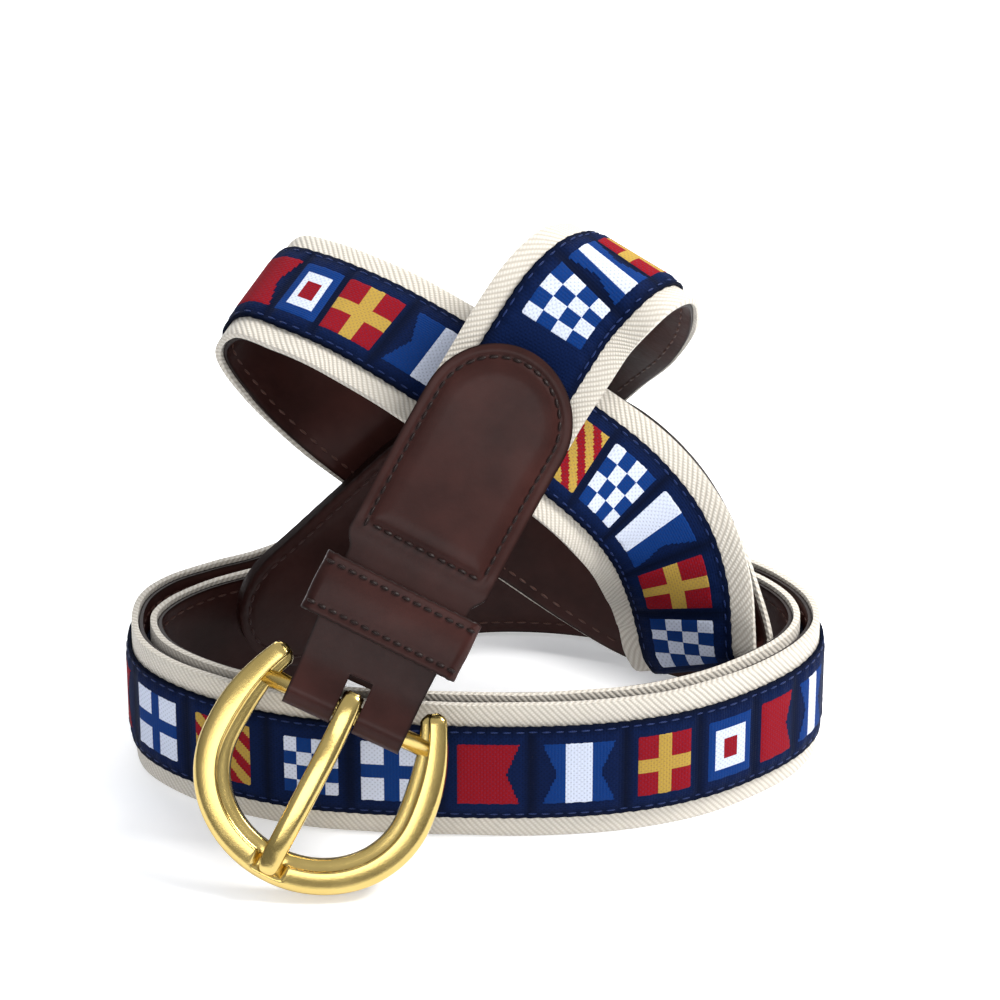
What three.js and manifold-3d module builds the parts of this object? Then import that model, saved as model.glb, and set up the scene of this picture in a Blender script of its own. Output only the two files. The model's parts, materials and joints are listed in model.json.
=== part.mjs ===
// A canvas belt, coiled and standing on its edge: webbing with a woven ribbon outside and a leather
// lining inside, a leather tab and keeper, a brass horseshoe buckle with its prong, and a leather tip.
// Millimetres, +Z up, front towards -Y, resting on the strap's lower edge.
import * as THREE from "three";
import { mergeVertices } from "three/addons/utils/BufferGeometryUtils.js";
import Module from "manifold-3d";

const wasm = await Module();
wasm.setup();

// Driving dimensions
const GAP = 0.3;
const CANVAS = { half: 16, neckHalf: 13, thick: 1.5, start: 13 };
const RIBBON = { half: 11.1, thick: 0.6, start: 39.5 };
const LINING = { half: 15.2, thick: 0.9, start: 45.5 };
const LAYER = 4.2;
const LEATHER = 1.3;
const TAB = { foldHalf: 13.1, half: 16, backEnd: 45, frontEnd: 83, neck: 30, shoulder: 34, step: 38 };
const KEEPER = { half: 17.5, wall: 1.4, from: 15.2, to: 28.2, front: 6, corner: 2.2 };
const BAR = { radius: 2, halfLength: 19.3 };
const FRAME = { half: 21.75, centre: -15, lower: 19.75, upper: 33, reach: 132, wide: 7.5, thick: 5 };
const SEAT = { x: -1.3, half: 2.9, top: 1.5, outer: -40, inner: -28 };
const PRONG = { half: 2.2, eye: 4 };
const SLOT = { half: 3, from: -7, to: 8.5 };
const BILLET = { length: 117, half: 15.6, thick: 3.2, grip: 16, round: 15 };
const HOLES = { count: 5, radius: 2, first: 36, pitch: 18 };
const STATION = { turn: 10, length: 12, fine: 24 };

// Names each number of a short table's rows
function columns(names, rows) {
  const keys = names.split(" ");
  return rows.map((row) => Object.fromEntries(keys.map((key, i) => [key, row[i]])));
}

// The strap's centre line, with the direction from its lower to its upper edge as ax, ay, az.
// From the buckle's bar up over the top loop, and down behind to the floor on the left.
const OVER = columns("x y z ax ay az", [
  [-26.0, -52.4, 34.5, -0.908, 0.2, 0.369],
  [-17.6, -43.7, 50.5, -0.908, 0.2, 0.369],
  [0.0, -26.0, 79.0, -0.88, 0.22, 0.42],
  [14.0, -15.5, 100.0, -0.87, 0.25, 0.42],
  [20.5, -10.0, 107.5, -0.86, 0.3, 0.41],
  [28.0, -4.0, 111.5, -0.82, 0.45, 0.32],
  [33.0, 3.5, 109.5, -0.8, 0.5, 0.3],
  [33.5, 12.0, 100.0, -0.82, 0.36, 0.42],
  [30.0, 22.0, 88.0, -0.83, 0.18, 0.53],
  [23.5, 34.0, 75.5, -0.76, 0.05, 0.64],
  [13.0, 43.0, 60.0, -0.67, 0, 0.74],
  [0.0, 47.0, 43.5, -0.6, 0, 0.8],
  [-14.0, 44.0, 28.0, -0.46, 0, 0.89],
  [-27.0, 35.8, 19.0, -0.22, 0, 0.97],
  [-37.5, 27.5, 16.6, -0.05, 0, 1],
]);

// The outer turn on the floor: left end, front and right end
const OUTER_TURN = columns("x y", [
  [-48.0, 20.0],
  [-57.5, 14.8],
  [-66.3, 8.8],
  [-71.4, 1.0],
  [-72.6, -9.0],
  [-70.4, -18.5],
  [-63.8, -26.8],
  [-51.0, -35.4],
  [-36.0, -41.0],
  [-10.0, -44.2],
  [16.0, -44.6],
  [33.0, -42.2],
  [47.0, -37.2],
  [59.6, -28.8],
  [68.8, -19.2],
  [72.9, -9.5],
  [71.8, 0.5],
  [66.3, 10.0],
  [56.5, 19.0],
]);
const INNER_TURN_FROM = 4;

// The back wall on the floor, from the right end to the inside of the left end
const BACK = columns("x y", [
  [43.8, 29.0],
  [28.5, 37.0],
  [13.0, 40.0],
  [-1.0, 39.5],
  [-13.0, 35.0],
  [-24.5, 27.8],
  [-36.0, 19.8],
  [-47.0, 12.8],
  [-58.5, 6.0],
  [-65.5, -1.0],
]);

// From the inner turn up to the left loop, and across the front down into the right end
const CROSSING = columns("x y z ax ay az", [
  [43.3, 21.5, 16.2, 0.05, 0, 1],
  [35.8, 26.2, 18.0, 0.22, 0, 0.97],
  [27.2, 29.7, 22.6, 0.4, 0, 0.92],
  [15.0, 31.0, 32.0, 0.54, 0.05, 0.83],
  [-1.0, 27.5, 46.0, 0.62, 0.12, 0.76],
  [-16.0, 22.5, 59.5, 0.62, 0.3, 0.72],
  [-28.5, 20.8, 71.0, 0.58, 0.5, 0.65],
  [-40.0, 22.0, 81.5, 0.52, 0.7, 0.5],
  [-47.0, 21.5, 91.0, 0.456, 0.83, 0.33],
  [-43.5, 16.5, 98.0, 0.42, 0.86, 0.3],
  [-35.0, 11.5, 98.0, 0.38, 0.86, 0.36],
  [-23.0, 6.0, 95.0, 0.4, 0.83, 0.39],
  [-9.5, -1.0, 90.0, 0.45, 0.78, 0.43],
  [6.4, -7.0, 81.4, 0.5, 0.72, 0.46],
  [20.5, -9.0, 71.5, 0.57, 0.6, 0.56],
  [31.5, -8.5, 61.0, 0.64, 0.42, 0.62],
  [39.3, -7.5, 49.5, 0.75, 0.15, 0.54],
  [43.4, -7.7, 38.5, 0.83, -0.14, 0.38],
  [45.1, -8.2, 29.5, 0.82, -0.36, 0.3],
]);

// The turn inside the right end, and the tip's rise and fall behind the crossing stretch
const TAIL = columns("x y z ax ay az", [
  [46.2, -8.3, 22.9, 0.8, -0.46, 0.36],
  [47.9, -7.5, 19.9, 0.8, -0.46, 0.36],
  [49.8, -4.9, 19.0, 0.8, -0.46, 0.36],
  [50.8, -2.1, 20.5, 0.8, -0.46, 0.36],
  [50.2, -0.7, 23.8, 0.8, -0.46, 0.36],
  [47.3, 0.7, 31.2, 0.8, -0.38, 0.42],
  [43.0, 3.6, 40.5, 0.78, -0.25, 0.55],
  [36.0, 8.5, 50.0, 0.68, -0.08, 0.72],
  [26.0, 14.0, 57.0, 0.48, 0, 0.88],
  [14.0, 18.0, 59.5, 0.22, 0, 0.97],
  [1.0, 18.5, 55.5, -0.05, 0, 1],
  [-11.0, 15.5, 47.5, -0.27, 0, 0.95],
  [-22.0, 10.5, 39.0, -0.42, -0.05, 0.9],
  [-33.0, 5.5, 31.0, -0.47, -0.14, 0.86],
  [-42.0, 1.8, 25.3, -0.46, -0.22, 0.85],
  [-49.0, -0.8, 20.9, -0.45, -0.26, 0.85],
]);

// Stands rows of a turn upright on the floor
function standing(rows) {
  return rows.map((row) => ({ ...row, z: CANVAS.half, ax: 0, ay: 0, az: 1 }));
}

// Moves a turn's rows towards its inside by one layer
function inside(rows) {
  return rows.map((row, i) => {
    const before = rows[Math.max(i - 1, 0)];
    const after = rows[Math.min(i + 1, rows.length - 1)];
    const along = new THREE.Vector2(after.x - before.x, after.y - before.y).normalize();
    return { x: row.x - along.y * LAYER, y: row.y + along.x * LAYER };
  });
}

const ROUTE = [
  ...OVER,
  ...standing(OUTER_TURN),
  ...standing(BACK),
  ...standing(inside(OUTER_TURN.slice(INNER_TURN_FROM))),
  ...CROSSING,
  ...TAIL,
];

// The strap's frames along the route: point, tangent, across and outward normal at each length s
function strapFrames(rows) {
  const points = rows.map((row) => new THREE.Vector3(row.x, row.y, row.z));
  const leans = rows.map((row) => new THREE.Vector3(row.ax, row.ay, row.az));
  const line = new THREE.CatmullRomCurve3(points, false, "centripetal");
  const lean = new THREE.CatmullRomCurve3(leans, false, "catmullrom");
  const frames = [];
  const count = (rows.length - 1) * STATION.fine;
  let s = 0;
  for (let i = 0; i <= count; i++) {
    const point = line.getPoint(i / count);
    const ahead = line.getPoint(Math.min((i + 0.01) / count, 1));
    const behind = line.getPoint(Math.max((i - 0.01) / count, 0));
    const tangent = ahead.sub(behind).normalize();
    const across = lean.getPoint(i / count);
    across.addScaledVector(tangent, -across.dot(tangent)).normalize();
    const normal = new THREE.Vector3().crossVectors(tangent, across);
    if (i > 0) s += point.distanceTo(frames[i - 1].point);
    frames.push({ s, point, tangent, across, normal });
  }
  return frames;
}

const FRAMES = strapFrames(ROUTE);
const LENGTH = FRAMES.at(-1).s;

// The lengths where the strap gets a section: closer where it bends or twists
function stationLengths() {
  const lengths = [0];
  let last = FRAMES[0];
  for (const frame of FRAMES) {
    const bend = THREE.MathUtils.radToDeg(frame.tangent.angleTo(last.tangent));
    const twist = THREE.MathUtils.radToDeg(frame.across.angleTo(last.across));
    const far = frame.s - last.s > STATION.length;
    if (bend > STATION.turn || twist > STATION.turn || far) {
      lengths.push(frame.s);
      last = frame;
    }
  }
  return lengths;
}

const STATIONS = stationLengths();

// All stations between two lengths, with the two ends and any extra ones
function between(from, to, extra = []) {
  const inner = STATIONS.filter((s) => s > from + 1 && s < to - 1);
  return [from, ...inner, ...extra, to].sort((a, b) => a - b);
}

// A point s along the strap, v across it and h outward from the canvas's middle
function place(s, v, h) {
  let i = FRAMES.findIndex((frame) => frame.s > s);
  if (i < 0) i = FRAMES.length - 1;
  const b = FRAMES[Math.max(i, 1)];
  const a = FRAMES[Math.max(i, 1) - 1];
  const k = (s - a.s) / (b.s - a.s);
  if (s < 0) return straight(FRAMES[0], s, v, h);
  const mix = (key) => a[key].clone().lerp(b[key], k);
  const out = mix("point");
  out.addScaledVector(mix("across"), v);
  return out.addScaledVector(mix("normal"), h);
}

function straight(frame, s, v, h) {
  const out = frame.point.clone().addScaledVector(frame.tangent, s);
  return out.addScaledVector(frame.across, v).addScaledVector(frame.normal, h);
}

// The buckle's own frame at the bar: x along the bar, y up the strap, z outward
function buckleMatrix() {
  const { point, tangent, across, normal } = FRAMES[0];
  return new THREE.Matrix4().makeBasis(across.clone().negate(), tangent, normal).setPosition(point);
}

// A closed mesh through rings of equal count, capped at both ends. The second half of a ring is split
// the other way, so that the two faces of a strip, and strips that lie on each other, stay parallel.
function loft(rings) {
  const count = rings[0].length;
  const points = rings.flat();
  const caps = [rings[0], rings.at(-1)].map((ring) => {
    const middle = ring.reduce((sum, p) => sum.add(p), new THREE.Vector3()).divideScalar(count);
    return points.push(middle) - 1;
  });
  const index = [];
  rings.slice(1).forEach((_, i) => {
    for (let k = 0; k < count; k++) {
      const a = i * count + k;
      const b = i * count + ((k + 1) % count);
      if (2 * k < count) index.push(a, b, b + count, a, b + count, a + count);
      else index.push(a, b, a + count, b, b + count, a + count);
    }
  });
  const end = (rings.length - 1) * count;
  for (let k = 0; k < count; k++) {
    const next = (k + 1) % count;
    index.push(caps[0], next, k, caps[1], end + k, end + next);
  }
  const geometry = new THREE.BufferGeometry().setFromPoints(points);
  geometry.setIndex(index);
  return facingOut(geometry);
}

// Turns the faces round where they point inwards
function facingOut(geometry) {
  const p = geometry.getAttribute("position");
  const index = [...geometry.index.array];
  const corner = (i) => new THREE.Vector3().fromBufferAttribute(p, index[i]);
  let volume = 0;
  for (let i = 0; i < index.length; i += 3) {
    volume += corner(i).dot(corner(i + 1).cross(corner(i + 2)));
  }
  if (volume < 0) index.reverse();
  geometry.setIndex(index);
  return geometry;
}

// Moves between three's geometry and a solid that can be joined and cut
function toSolid(geometry) {
  const bare = geometry.clone();
  bare.deleteAttribute("normal");
  bare.deleteAttribute("uv");
  const merged = mergeVertices(bare, 1e-4);
  const vertProperties = new Float32Array(merged.getAttribute("position").array);
  const triVerts = new Uint32Array(merged.index.array);
  return new wasm.Manifold(new wasm.Mesh({ numProp: 3, vertProperties, triVerts }));
}

function toGeometry(solid) {
  const mesh = solid.getMesh();
  const geometry = new THREE.BufferGeometry();
  geometry.setAttribute("position", new THREE.BufferAttribute(mesh.vertProperties, 3));
  geometry.setIndex(new THREE.BufferAttribute(mesh.triVerts, 1));
  return geometry;
}

function joined(...geometries) {
  return toGeometry(geometries.map(toSolid).reduce((a, b) => a.add(b)));
}

function cut(geometry, ...cutters) {
  return toGeometry(cutters.map(toSolid).reduce((a, b) => a.subtract(b), toSolid(geometry)));
}

// A flat strip of the strap's stack, from low to high outward, with its half width at each length.
// A strip wider than the ribbon is also divided where the ribbon's edges lie.
function strip(lengths, half, low, high) {
  return loft(
    lengths.map((s) => {
      const w = half(s);
      const inner = Math.min(RIBBON.half, 0.74 * w);
      const across = w > RIBBON.half || low * high < 0 ? [-w, -inner, 0, inner, w] : [-w, 0, w];
      const under = across.map((v) => place(s, v, low));
      const over = across.map((v) => place(s, v, high));
      return [...under, ...over.reverse()];
    }),
  );
}

// Eases a value from a to b between two lengths
function ease(s, from, to, a, b) {
  return THREE.MathUtils.lerp(a, b, THREE.MathUtils.smoothstep(s, from, to));
}

// Half width of a round end: full until `radius` before the end
function roundEnd(s, end, half, radius) {
  const into = Math.max(0, s - (end - radius)) / radius;
  return half * Math.sqrt(Math.max(0.04, 1 - into * into));
}

const CANVAS_OUT = CANVAS.thick / 2;
const RIBBON_IN = CANVAS_OUT + GAP;
const RIBBON_OUT = RIBBON_IN + RIBBON.thick;
const STRAP_END = LENGTH - BILLET.length + BILLET.grip;
const BILLET_START = LENGTH - BILLET.length;

function webbing() {
  const half = (s) => ease(s, TAB.neck, TAB.shoulder, CANVAS.neckHalf, CANVAS.half);
  const gripped = (s) => (s > BILLET_START - 1 ? BILLET.half - GAP : half(s));
  const shoulder = [TAB.neck, 31.5, 32.5, TAB.shoulder];
  const lengths = between(CANVAS.start, STRAP_END, [...shoulder, BILLET_START - 1.2, BILLET_START - 0.6]);
  return strip(lengths, gripped, -CANVAS_OUT, CANVAS_OUT);
}

function ribbon() {
  const lengths = between(RIBBON.start, BILLET_START - GAP);
  return strip(lengths, () => RIBBON.half, RIBBON_IN, RIBBON_OUT);
}

function lining() {
  const lengths = between(LINING.start, BILLET_START - GAP);
  return strip(lengths, () => LINING.half, -RIBBON_IN - LINING.thick, -RIBBON_IN);
}

// The tab's path in s and h: up the back leaf, round the bar and out along the front leaf
function tabPath() {
  const near = RIBBON_IN + LEATHER / 2;
  const over = RIBBON_OUT + GAP + LEATHER / 2;
  const wrap = BAR.radius + GAP + LEATHER / 2;
  const path = between(CANVAS.start - 4, TAB.backEnd, [TAB.neck, TAB.shoulder]).map((s) => ({ s, h: -near }));
  path.reverse();
  for (let turn = -120; turn <= 120; turn += 24) {
    const angle = THREE.MathUtils.degToRad(turn);
    path.push({ s: -Math.cos(angle) * wrap, h: Math.sin(angle) * wrap });
  }
  const round = [3, 6, 9, 12, 14, 15.2].map((into) => TAB.frontEnd - BILLET.round + into - 0.4);
  const front = between(CANVAS.start - 4, TAB.frontEnd, [TAB.neck, TAB.shoulder, TAB.step, ...round]);
  front.forEach((s) => path.push({ s, h: ease(s, TAB.shoulder, TAB.step, near, over) }));
  return path;
}

function buckleTab() {
  const path = tabPath();
  const half = (s) => {
    const full = ease(s, TAB.neck, TAB.shoulder, TAB.foldHalf + ease(s, 0, TAB.neck, 0, 0.9), TAB.half);
    return Math.min(full, roundEnd(s, TAB.frontEnd, TAB.half, TAB.half));
  };
  const rings = path.map((here, i) => {
    const before = path[Math.max(i - 1, 0)];
    const after = path[Math.min(i + 1, path.length - 1)];
    const out = new THREE.Vector2(after.h - before.h, before.s - after.s).normalize();
    out.multiplyScalar(LEATHER / 2);
    const w = half(here.s);
    return [
      place(here.s - out.x, -w, here.h - out.y),
      place(here.s - out.x, w, here.h - out.y),
      place(here.s + out.x, w, here.h + out.y),
      place(here.s + out.x, -w, here.h + out.y),
    ];
  });
  const depth = 16;
  const slot = new THREE.BoxGeometry(2 * SLOT.half, SLOT.to - SLOT.from, depth);
  slot.translate(0, (SLOT.from + SLOT.to) / 2, 0).applyMatrix4(buckleMatrix());
  return cut(loft(rings), slot);
}

// A rectangle with round corners in x from -half to half and y from low to high
function roundedBox(shape, half, low, high, corner) {
  const turns = [
    [half - corner, low + corner, -90],
    [half - corner, high - corner, 0],
    [corner - half, high - corner, 90],
    [corner - half, low + corner, 180],
  ];
  for (const [x, y, from] of turns) {
    const start = THREE.MathUtils.degToRad(from);
    shape.absarc(x, y, corner, start, start + Math.PI / 2, false);
  }
  shape.closePath();
  return shape;
}

function keeper() {
  const back = -RIBBON_IN - LEATHER - GAP;
  const inner = KEEPER.half - KEEPER.wall;
  const { wall, corner } = KEEPER;
  const band = roundedBox(new THREE.Shape(), KEEPER.half, back - wall, KEEPER.front + wall, corner);
  band.holes.push(roundedBox(new THREE.Path(), inner, back, KEEPER.front, corner - wall));
  const geometry = new THREE.ExtrudeGeometry(band, {
    depth: KEEPER.to - KEEPER.from,
    bevelEnabled: false,
    curveSegments: 4,
  });
  const middle = (KEEPER.from + KEEPER.to) / 2;
  const frame = FRAMES.find((f) => f.s > middle);
  const basis = new THREE.Matrix4().makeBasis(frame.across, frame.normal, frame.tangent);
  const start = frame.point.clone().addScaledVector(frame.tangent, KEEPER.from - frame.s);
  return geometry.applyMatrix4(basis.setPosition(start));
}

// The frame's section: across its width as r and through its thickness as z, with a step inside
const FRAME_SECTION = columns("r z", [
  [0.5, -0.3],
  [0.5, 0.2],
  [0.38, 0.42],
  [0.1, 0.5],
  [-0.12, 0.5],
  [-0.14, 0.3],
  [-0.44, 0.24],
  [-0.5, 0.05],
  [-0.5, -0.34],
  [-0.4, -0.5],
  [0.36, -0.5],
]);

// The frame's centre line: a low half circle below, drawn up into the two horns
function framePoint(degrees) {
  const a = THREE.MathUtils.degToRad(degrees);
  const rise = Math.cos(a) > 0 ? FRAME.lower : FRAME.upper;
  return new THREE.Vector2(FRAME.half * Math.sin(a), FRAME.centre - rise * Math.cos(a));
}

function buckleFrame() {
  const rings = [];
  const step = 6;
  for (let degrees = -FRAME.reach; degrees <= FRAME.reach; degrees += step) {
    const point = framePoint(degrees);
    const along = framePoint(degrees + 0.5).sub(framePoint(degrees - 0.5)).normalize();
    const taper = ease(Math.abs(degrees), 96, FRAME.reach, 1, 0.62);
    rings.push(
      FRAME_SECTION.map(({ r, z }) => {
        const out = r * FRAME.wide * taper;
        return new THREE.Vector3(point.x + along.y * out, point.y - along.x * out, z * FRAME.thick * taper);
      }),
    );
  }
  const bar = new THREE.CylinderGeometry(BAR.radius, BAR.radius, 2 * BAR.halfLength, 16);
  bar.rotateZ(Math.PI / 2);
  const seat = new THREE.BoxGeometry(2 * SEAT.half, SEAT.inner - SEAT.outer, FRAME.thick);
  seat.translate(SEAT.x, (SEAT.inner + SEAT.outer) / 2, SEAT.top + FRAME.thick / 2);
  return cut(joined(loft(rings), bar), seat).applyMatrix4(buckleMatrix());
}

// The prong's shank: x, y and z of its middle, and its width and thickness
const SHANK = columns("x y z wide thick", [
  [0, -2.9, 1.7, 4.2, 2.4],
  [0, -6, 3.0, 4.6, 3.0],
  [-0.2, -12, 4.1, 4.8, 3.1],
  [-0.7, -22, 4.4, 4.8, 3.1],
  [-1.1, -29, 3.9, 4.7, 3.0],
  [-1.3, -34, 3.25, 4.5, 2.7],
  [-1.3, -37, 2.95, 3.9, 2.1],
  [-1.3, -38.4, 2.75, 2.4, 1.3],
]);

function prong() {
  const eye = new THREE.Shape().absarc(0, 0, PRONG.eye, 0, 2 * Math.PI, false);
  eye.holes.push(new THREE.Path().absarc(0, 0, BAR.radius + GAP, 0, 2 * Math.PI, true));
  const extrude = { depth: 2 * PRONG.half, bevelEnabled: false, curveSegments: 10 };
  const ring = new THREE.ExtrudeGeometry(eye, extrude);
  ring.translate(0, 0, -PRONG.half).rotateY(Math.PI / 2);
  const rings = SHANK.map(({ x, y, z, wide, thick }) =>
    [0, 45, 90, 135, 180, 225, 270, 315].map((turn) => {
      const angle = THREE.MathUtils.degToRad(turn + 22.5);
      const round = 1.08;
      const out = (Math.cos(angle) * wide * round) / 2;
      const up = (Math.sin(angle) * thick * round) / 2;
      return new THREE.Vector3(x + out, y, z + up);
    }),
  );
  return joined(ring, loft(rings)).applyMatrix4(buckleMatrix());
}

function billet() {
  const round = [3, 6, 9, 12, 14].map((into) => LENGTH - BILLET.round + into);
  const lengths = between(BILLET_START, LENGTH, round);
  const half = (s) => roundEnd(s, LENGTH, BILLET.half, BILLET.round);
  const thick = BILLET.thick / 2;
  const body = strip(lengths, half, -thick, thick);
  const mouth = CANVAS_OUT + GAP;
  const forked = between(BILLET_START - 2, STRAP_END + GAP);
  const cutters = [strip(forked, () => CANVAS.half + 2, -mouth, mouth)];
  for (let i = 0; i < HOLES.count; i++) {
    const s = LENGTH - HOLES.first - i * HOLES.pitch;
    const hole = new THREE.CylinderGeometry(HOLES.radius, HOLES.radius, 4 * BILLET.thick, 10);
    const out = place(s, 0, 1).sub(place(s, 0, 0));
    const turn = new THREE.Quaternion().setFromUnitVectors(new THREE.Vector3(0, 1, 0), out);
    hole.applyQuaternion(turn).translate(...place(s, 0, 0).toArray());
    cutters.push(hole);
  }
  return cut(body, ...cutters);
}

const MATERIALS = {
  canvas: new THREE.MeshStandardMaterial({ color: 0xe2dccf, roughness: 0.85, metalness: 0 }),
  ribbon: new THREE.MeshStandardMaterial({ color: 0x12264e, roughness: 0.6, metalness: 0 }),
  leather: new THREE.MeshStandardMaterial({ color: 0x3c2523, roughness: 0.45, metalness: 0 }),
  brass: new THREE.MeshStandardMaterial({ color: 0xc8a546, roughness: 0.25, metalness: 1 }),
};

function piece(name, geometry, material) {
  geometry.computeVertexNormals();
  const mesh = new THREE.Mesh(geometry, MATERIALS[material]);
  mesh.name = name;
  return mesh;
}

const belt = new THREE.Group();
belt.add(
  piece("webbing", webbing(), "canvas"),
  piece("ribbon", ribbon(), "ribbon"),
  piece("lining", lining(), "leather"),
  piece("buckle_tab", buckleTab(), "leather"),
  piece("keeper", keeper(), "leather"),
  piece("buckle_frame", buckleFrame(), "brass"),
  piece("prong", prong(), "brass"),
  piece("billet", billet(), "leather"),
);

// The origin is the middle of the belt's box on the surface that it stands on
const box = new THREE.Box3().setFromObject(belt);
const middle = box.getCenter(new THREE.Vector3());
for (const mesh of belt.children) {
  mesh.position.set(-middle.x, -middle.y, -box.min.z);
}

export default belt;
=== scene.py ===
"""Looks of a coiled canvas belt with a navy flag ribbon, leather ends and a brass buckle.

Lengths are in millimetres, apart from the studio's, the node groups' and the finished meshes', which are in
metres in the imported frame.
"""

from __future__ import annotations

import json
import logging
import math
from bisect import bisect_right
from dataclasses import dataclass, field
from enum import Enum
from itertools import cycle
from typing import Callable, Iterable, Sequence

import bmesh
import bpy
from mathutils import Matrix, Vector

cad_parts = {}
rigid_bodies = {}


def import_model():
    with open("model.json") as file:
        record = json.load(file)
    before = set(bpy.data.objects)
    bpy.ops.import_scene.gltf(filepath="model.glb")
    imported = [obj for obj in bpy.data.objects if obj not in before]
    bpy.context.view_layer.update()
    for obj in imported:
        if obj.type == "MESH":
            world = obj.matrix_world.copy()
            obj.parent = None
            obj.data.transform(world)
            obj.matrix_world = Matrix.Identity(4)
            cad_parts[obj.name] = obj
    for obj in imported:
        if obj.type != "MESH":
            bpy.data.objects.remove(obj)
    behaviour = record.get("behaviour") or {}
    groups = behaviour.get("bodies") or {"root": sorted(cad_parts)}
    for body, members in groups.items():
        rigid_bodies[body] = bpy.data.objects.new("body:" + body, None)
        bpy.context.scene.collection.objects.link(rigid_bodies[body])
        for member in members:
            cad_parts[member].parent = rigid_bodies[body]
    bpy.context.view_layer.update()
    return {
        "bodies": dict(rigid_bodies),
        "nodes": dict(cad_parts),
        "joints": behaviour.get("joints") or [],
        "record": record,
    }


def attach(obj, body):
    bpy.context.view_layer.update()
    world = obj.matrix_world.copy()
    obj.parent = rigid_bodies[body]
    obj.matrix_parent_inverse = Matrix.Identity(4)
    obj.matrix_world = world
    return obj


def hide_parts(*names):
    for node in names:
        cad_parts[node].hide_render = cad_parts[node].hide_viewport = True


LOG = logging.getLogger("belt")
MM = 0.001
ORIGIN = Vector((-0.2024, 11.5809, 0.0233))
GAP = 0.3
LAYER = 4.2
EDGE_HEIGHT = 16.0
SAMPLES_PER_SPAN = 24
INNER_TURN_FROM = 4
WELD = 1e-6
SEAM_STEP = 0.25
NECK_FROM, NECK_TO = 30.0, 34.0
Row = tuple[float, ...]
Colour = tuple[float, float, float, float]
NAVY_THREAD: Colour = (0.008, 0.026, 0.12, 1.0)
BROWN_THREAD: Colour = (0.1, 0.045, 0.034, 1.0)
DARK_THREAD: Colour = (0.016, 0.0065, 0.0055, 1.0)
TIP_THREAD: Colour = (0.06, 0.026, 0.022, 1.0)
Socket = bpy.types.NodeSocket
Profile = Callable[[float], float]
Height = Callable[[float, float], float]

# The strap's middle and the direction across it: x, y, z, ax, ay, az
OVER: tuple[Row, ...] = (
    (-26.0, -52.4, 34.5, -0.908, 0.2, 0.369),
    (-17.6, -43.7, 50.5, -0.908, 0.2, 0.369),
    (0.0, -26.0, 79.0, -0.88, 0.22, 0.42),
    (14.0, -15.5, 100.0, -0.87, 0.25, 0.42),
    (20.5, -10.0, 107.5, -0.86, 0.3, 0.41),
    (28.0, -4.0, 111.5, -0.82, 0.45, 0.32),
    (33.0, 3.5, 109.5, -0.8, 0.5, 0.3),
    (33.5, 12.0, 100.0, -0.82, 0.36, 0.42),
    (30.0, 22.0, 88.0, -0.83, 0.18, 0.53),
    (23.5, 34.0, 75.5, -0.76, 0.05, 0.64),
    (13.0, 43.0, 60.0, -0.67, 0.0, 0.74),
    (0.0, 47.0, 43.5, -0.6, 0.0, 0.8),
    (-14.0, 44.0, 28.0, -0.46, 0.0, 0.89),
    (-27.0, 35.8, 19.0, -0.22, 0.0, 0.97),
    (-37.5, 27.5, 16.6, -0.05, 0.0, 1.0),
)

# The outer turn on the floor: x, y
OUTER_TURN: tuple[Row, ...] = (
    (-48.0, 20.0),
    (-57.5, 14.8),
    (-66.3, 8.8),
    (-71.4, 1.0),
    (-72.6, -9.0),
    (-70.4, -18.5),
    (-63.8, -26.8),
    (-51.0, -35.4),
    (-36.0, -41.0),
    (-10.0, -44.2),
    (16.0, -44.6),
    (33.0, -42.2),
    (47.0, -37.2),
    (59.6, -28.8),
    (68.8, -19.2),
    (72.9, -9.5),
    (71.8, 0.5),
    (66.3, 10.0),
    (56.5, 19.0),
)

# The back wall on the floor: x, y
BACK: tuple[Row, ...] = (
    (43.8, 29.0),
    (28.5, 37.0),
    (13.0, 40.0),
    (-1.0, 39.5),
    (-13.0, 35.0),
    (-24.5, 27.8),
    (-36.0, 19.8),
    (-47.0, 12.8),
    (-58.5, 6.0),
    (-65.5, -1.0),
)

# Up to the left loop and across the front into the right end: x, y, z, ax, ay, az
CROSSING: tuple[Row, ...] = (
    (43.3, 21.5, 16.2, 0.05, 0.0, 1.0),
    (35.8, 26.2, 18.0, 0.22, 0.0, 0.97),
    (27.2, 29.7, 22.6, 0.4, 0.0, 0.92),
    (15.0, 31.0, 32.0, 0.54, 0.05, 0.83),
    (-1.0, 27.5, 46.0, 0.62, 0.12, 0.76),
    (-16.0, 22.5, 59.5, 0.62, 0.3, 0.72),
    (-28.5, 20.8, 71.0, 0.58, 0.5, 0.65),
    (-40.0, 22.0, 81.5, 0.52, 0.7, 0.5),
    (-47.0, 21.5, 91.0, 0.456, 0.83, 0.33),
    (-43.5, 16.5, 98.0, 0.42, 0.86, 0.3),
    (-35.0, 11.5, 98.0, 0.38, 0.86, 0.36),
    (-23.0, 6.0, 95.0, 0.4, 0.83, 0.39),
    (-9.5, -1.0, 90.0, 0.45, 0.78, 0.43),
    (6.4, -7.0, 81.4, 0.5, 0.72, 0.46),
    (20.5, -9.0, 71.5, 0.57, 0.6, 0.56),
    (31.5, -8.5, 61.0, 0.64, 0.42, 0.62),
    (39.3, -7.5, 49.5, 0.75, 0.15, 0.54),
    (43.4, -7.7, 38.5, 0.83, -0.14, 0.38),
    (45.1, -8.2, 29.5, 0.82, -0.36, 0.3),
)

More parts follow.
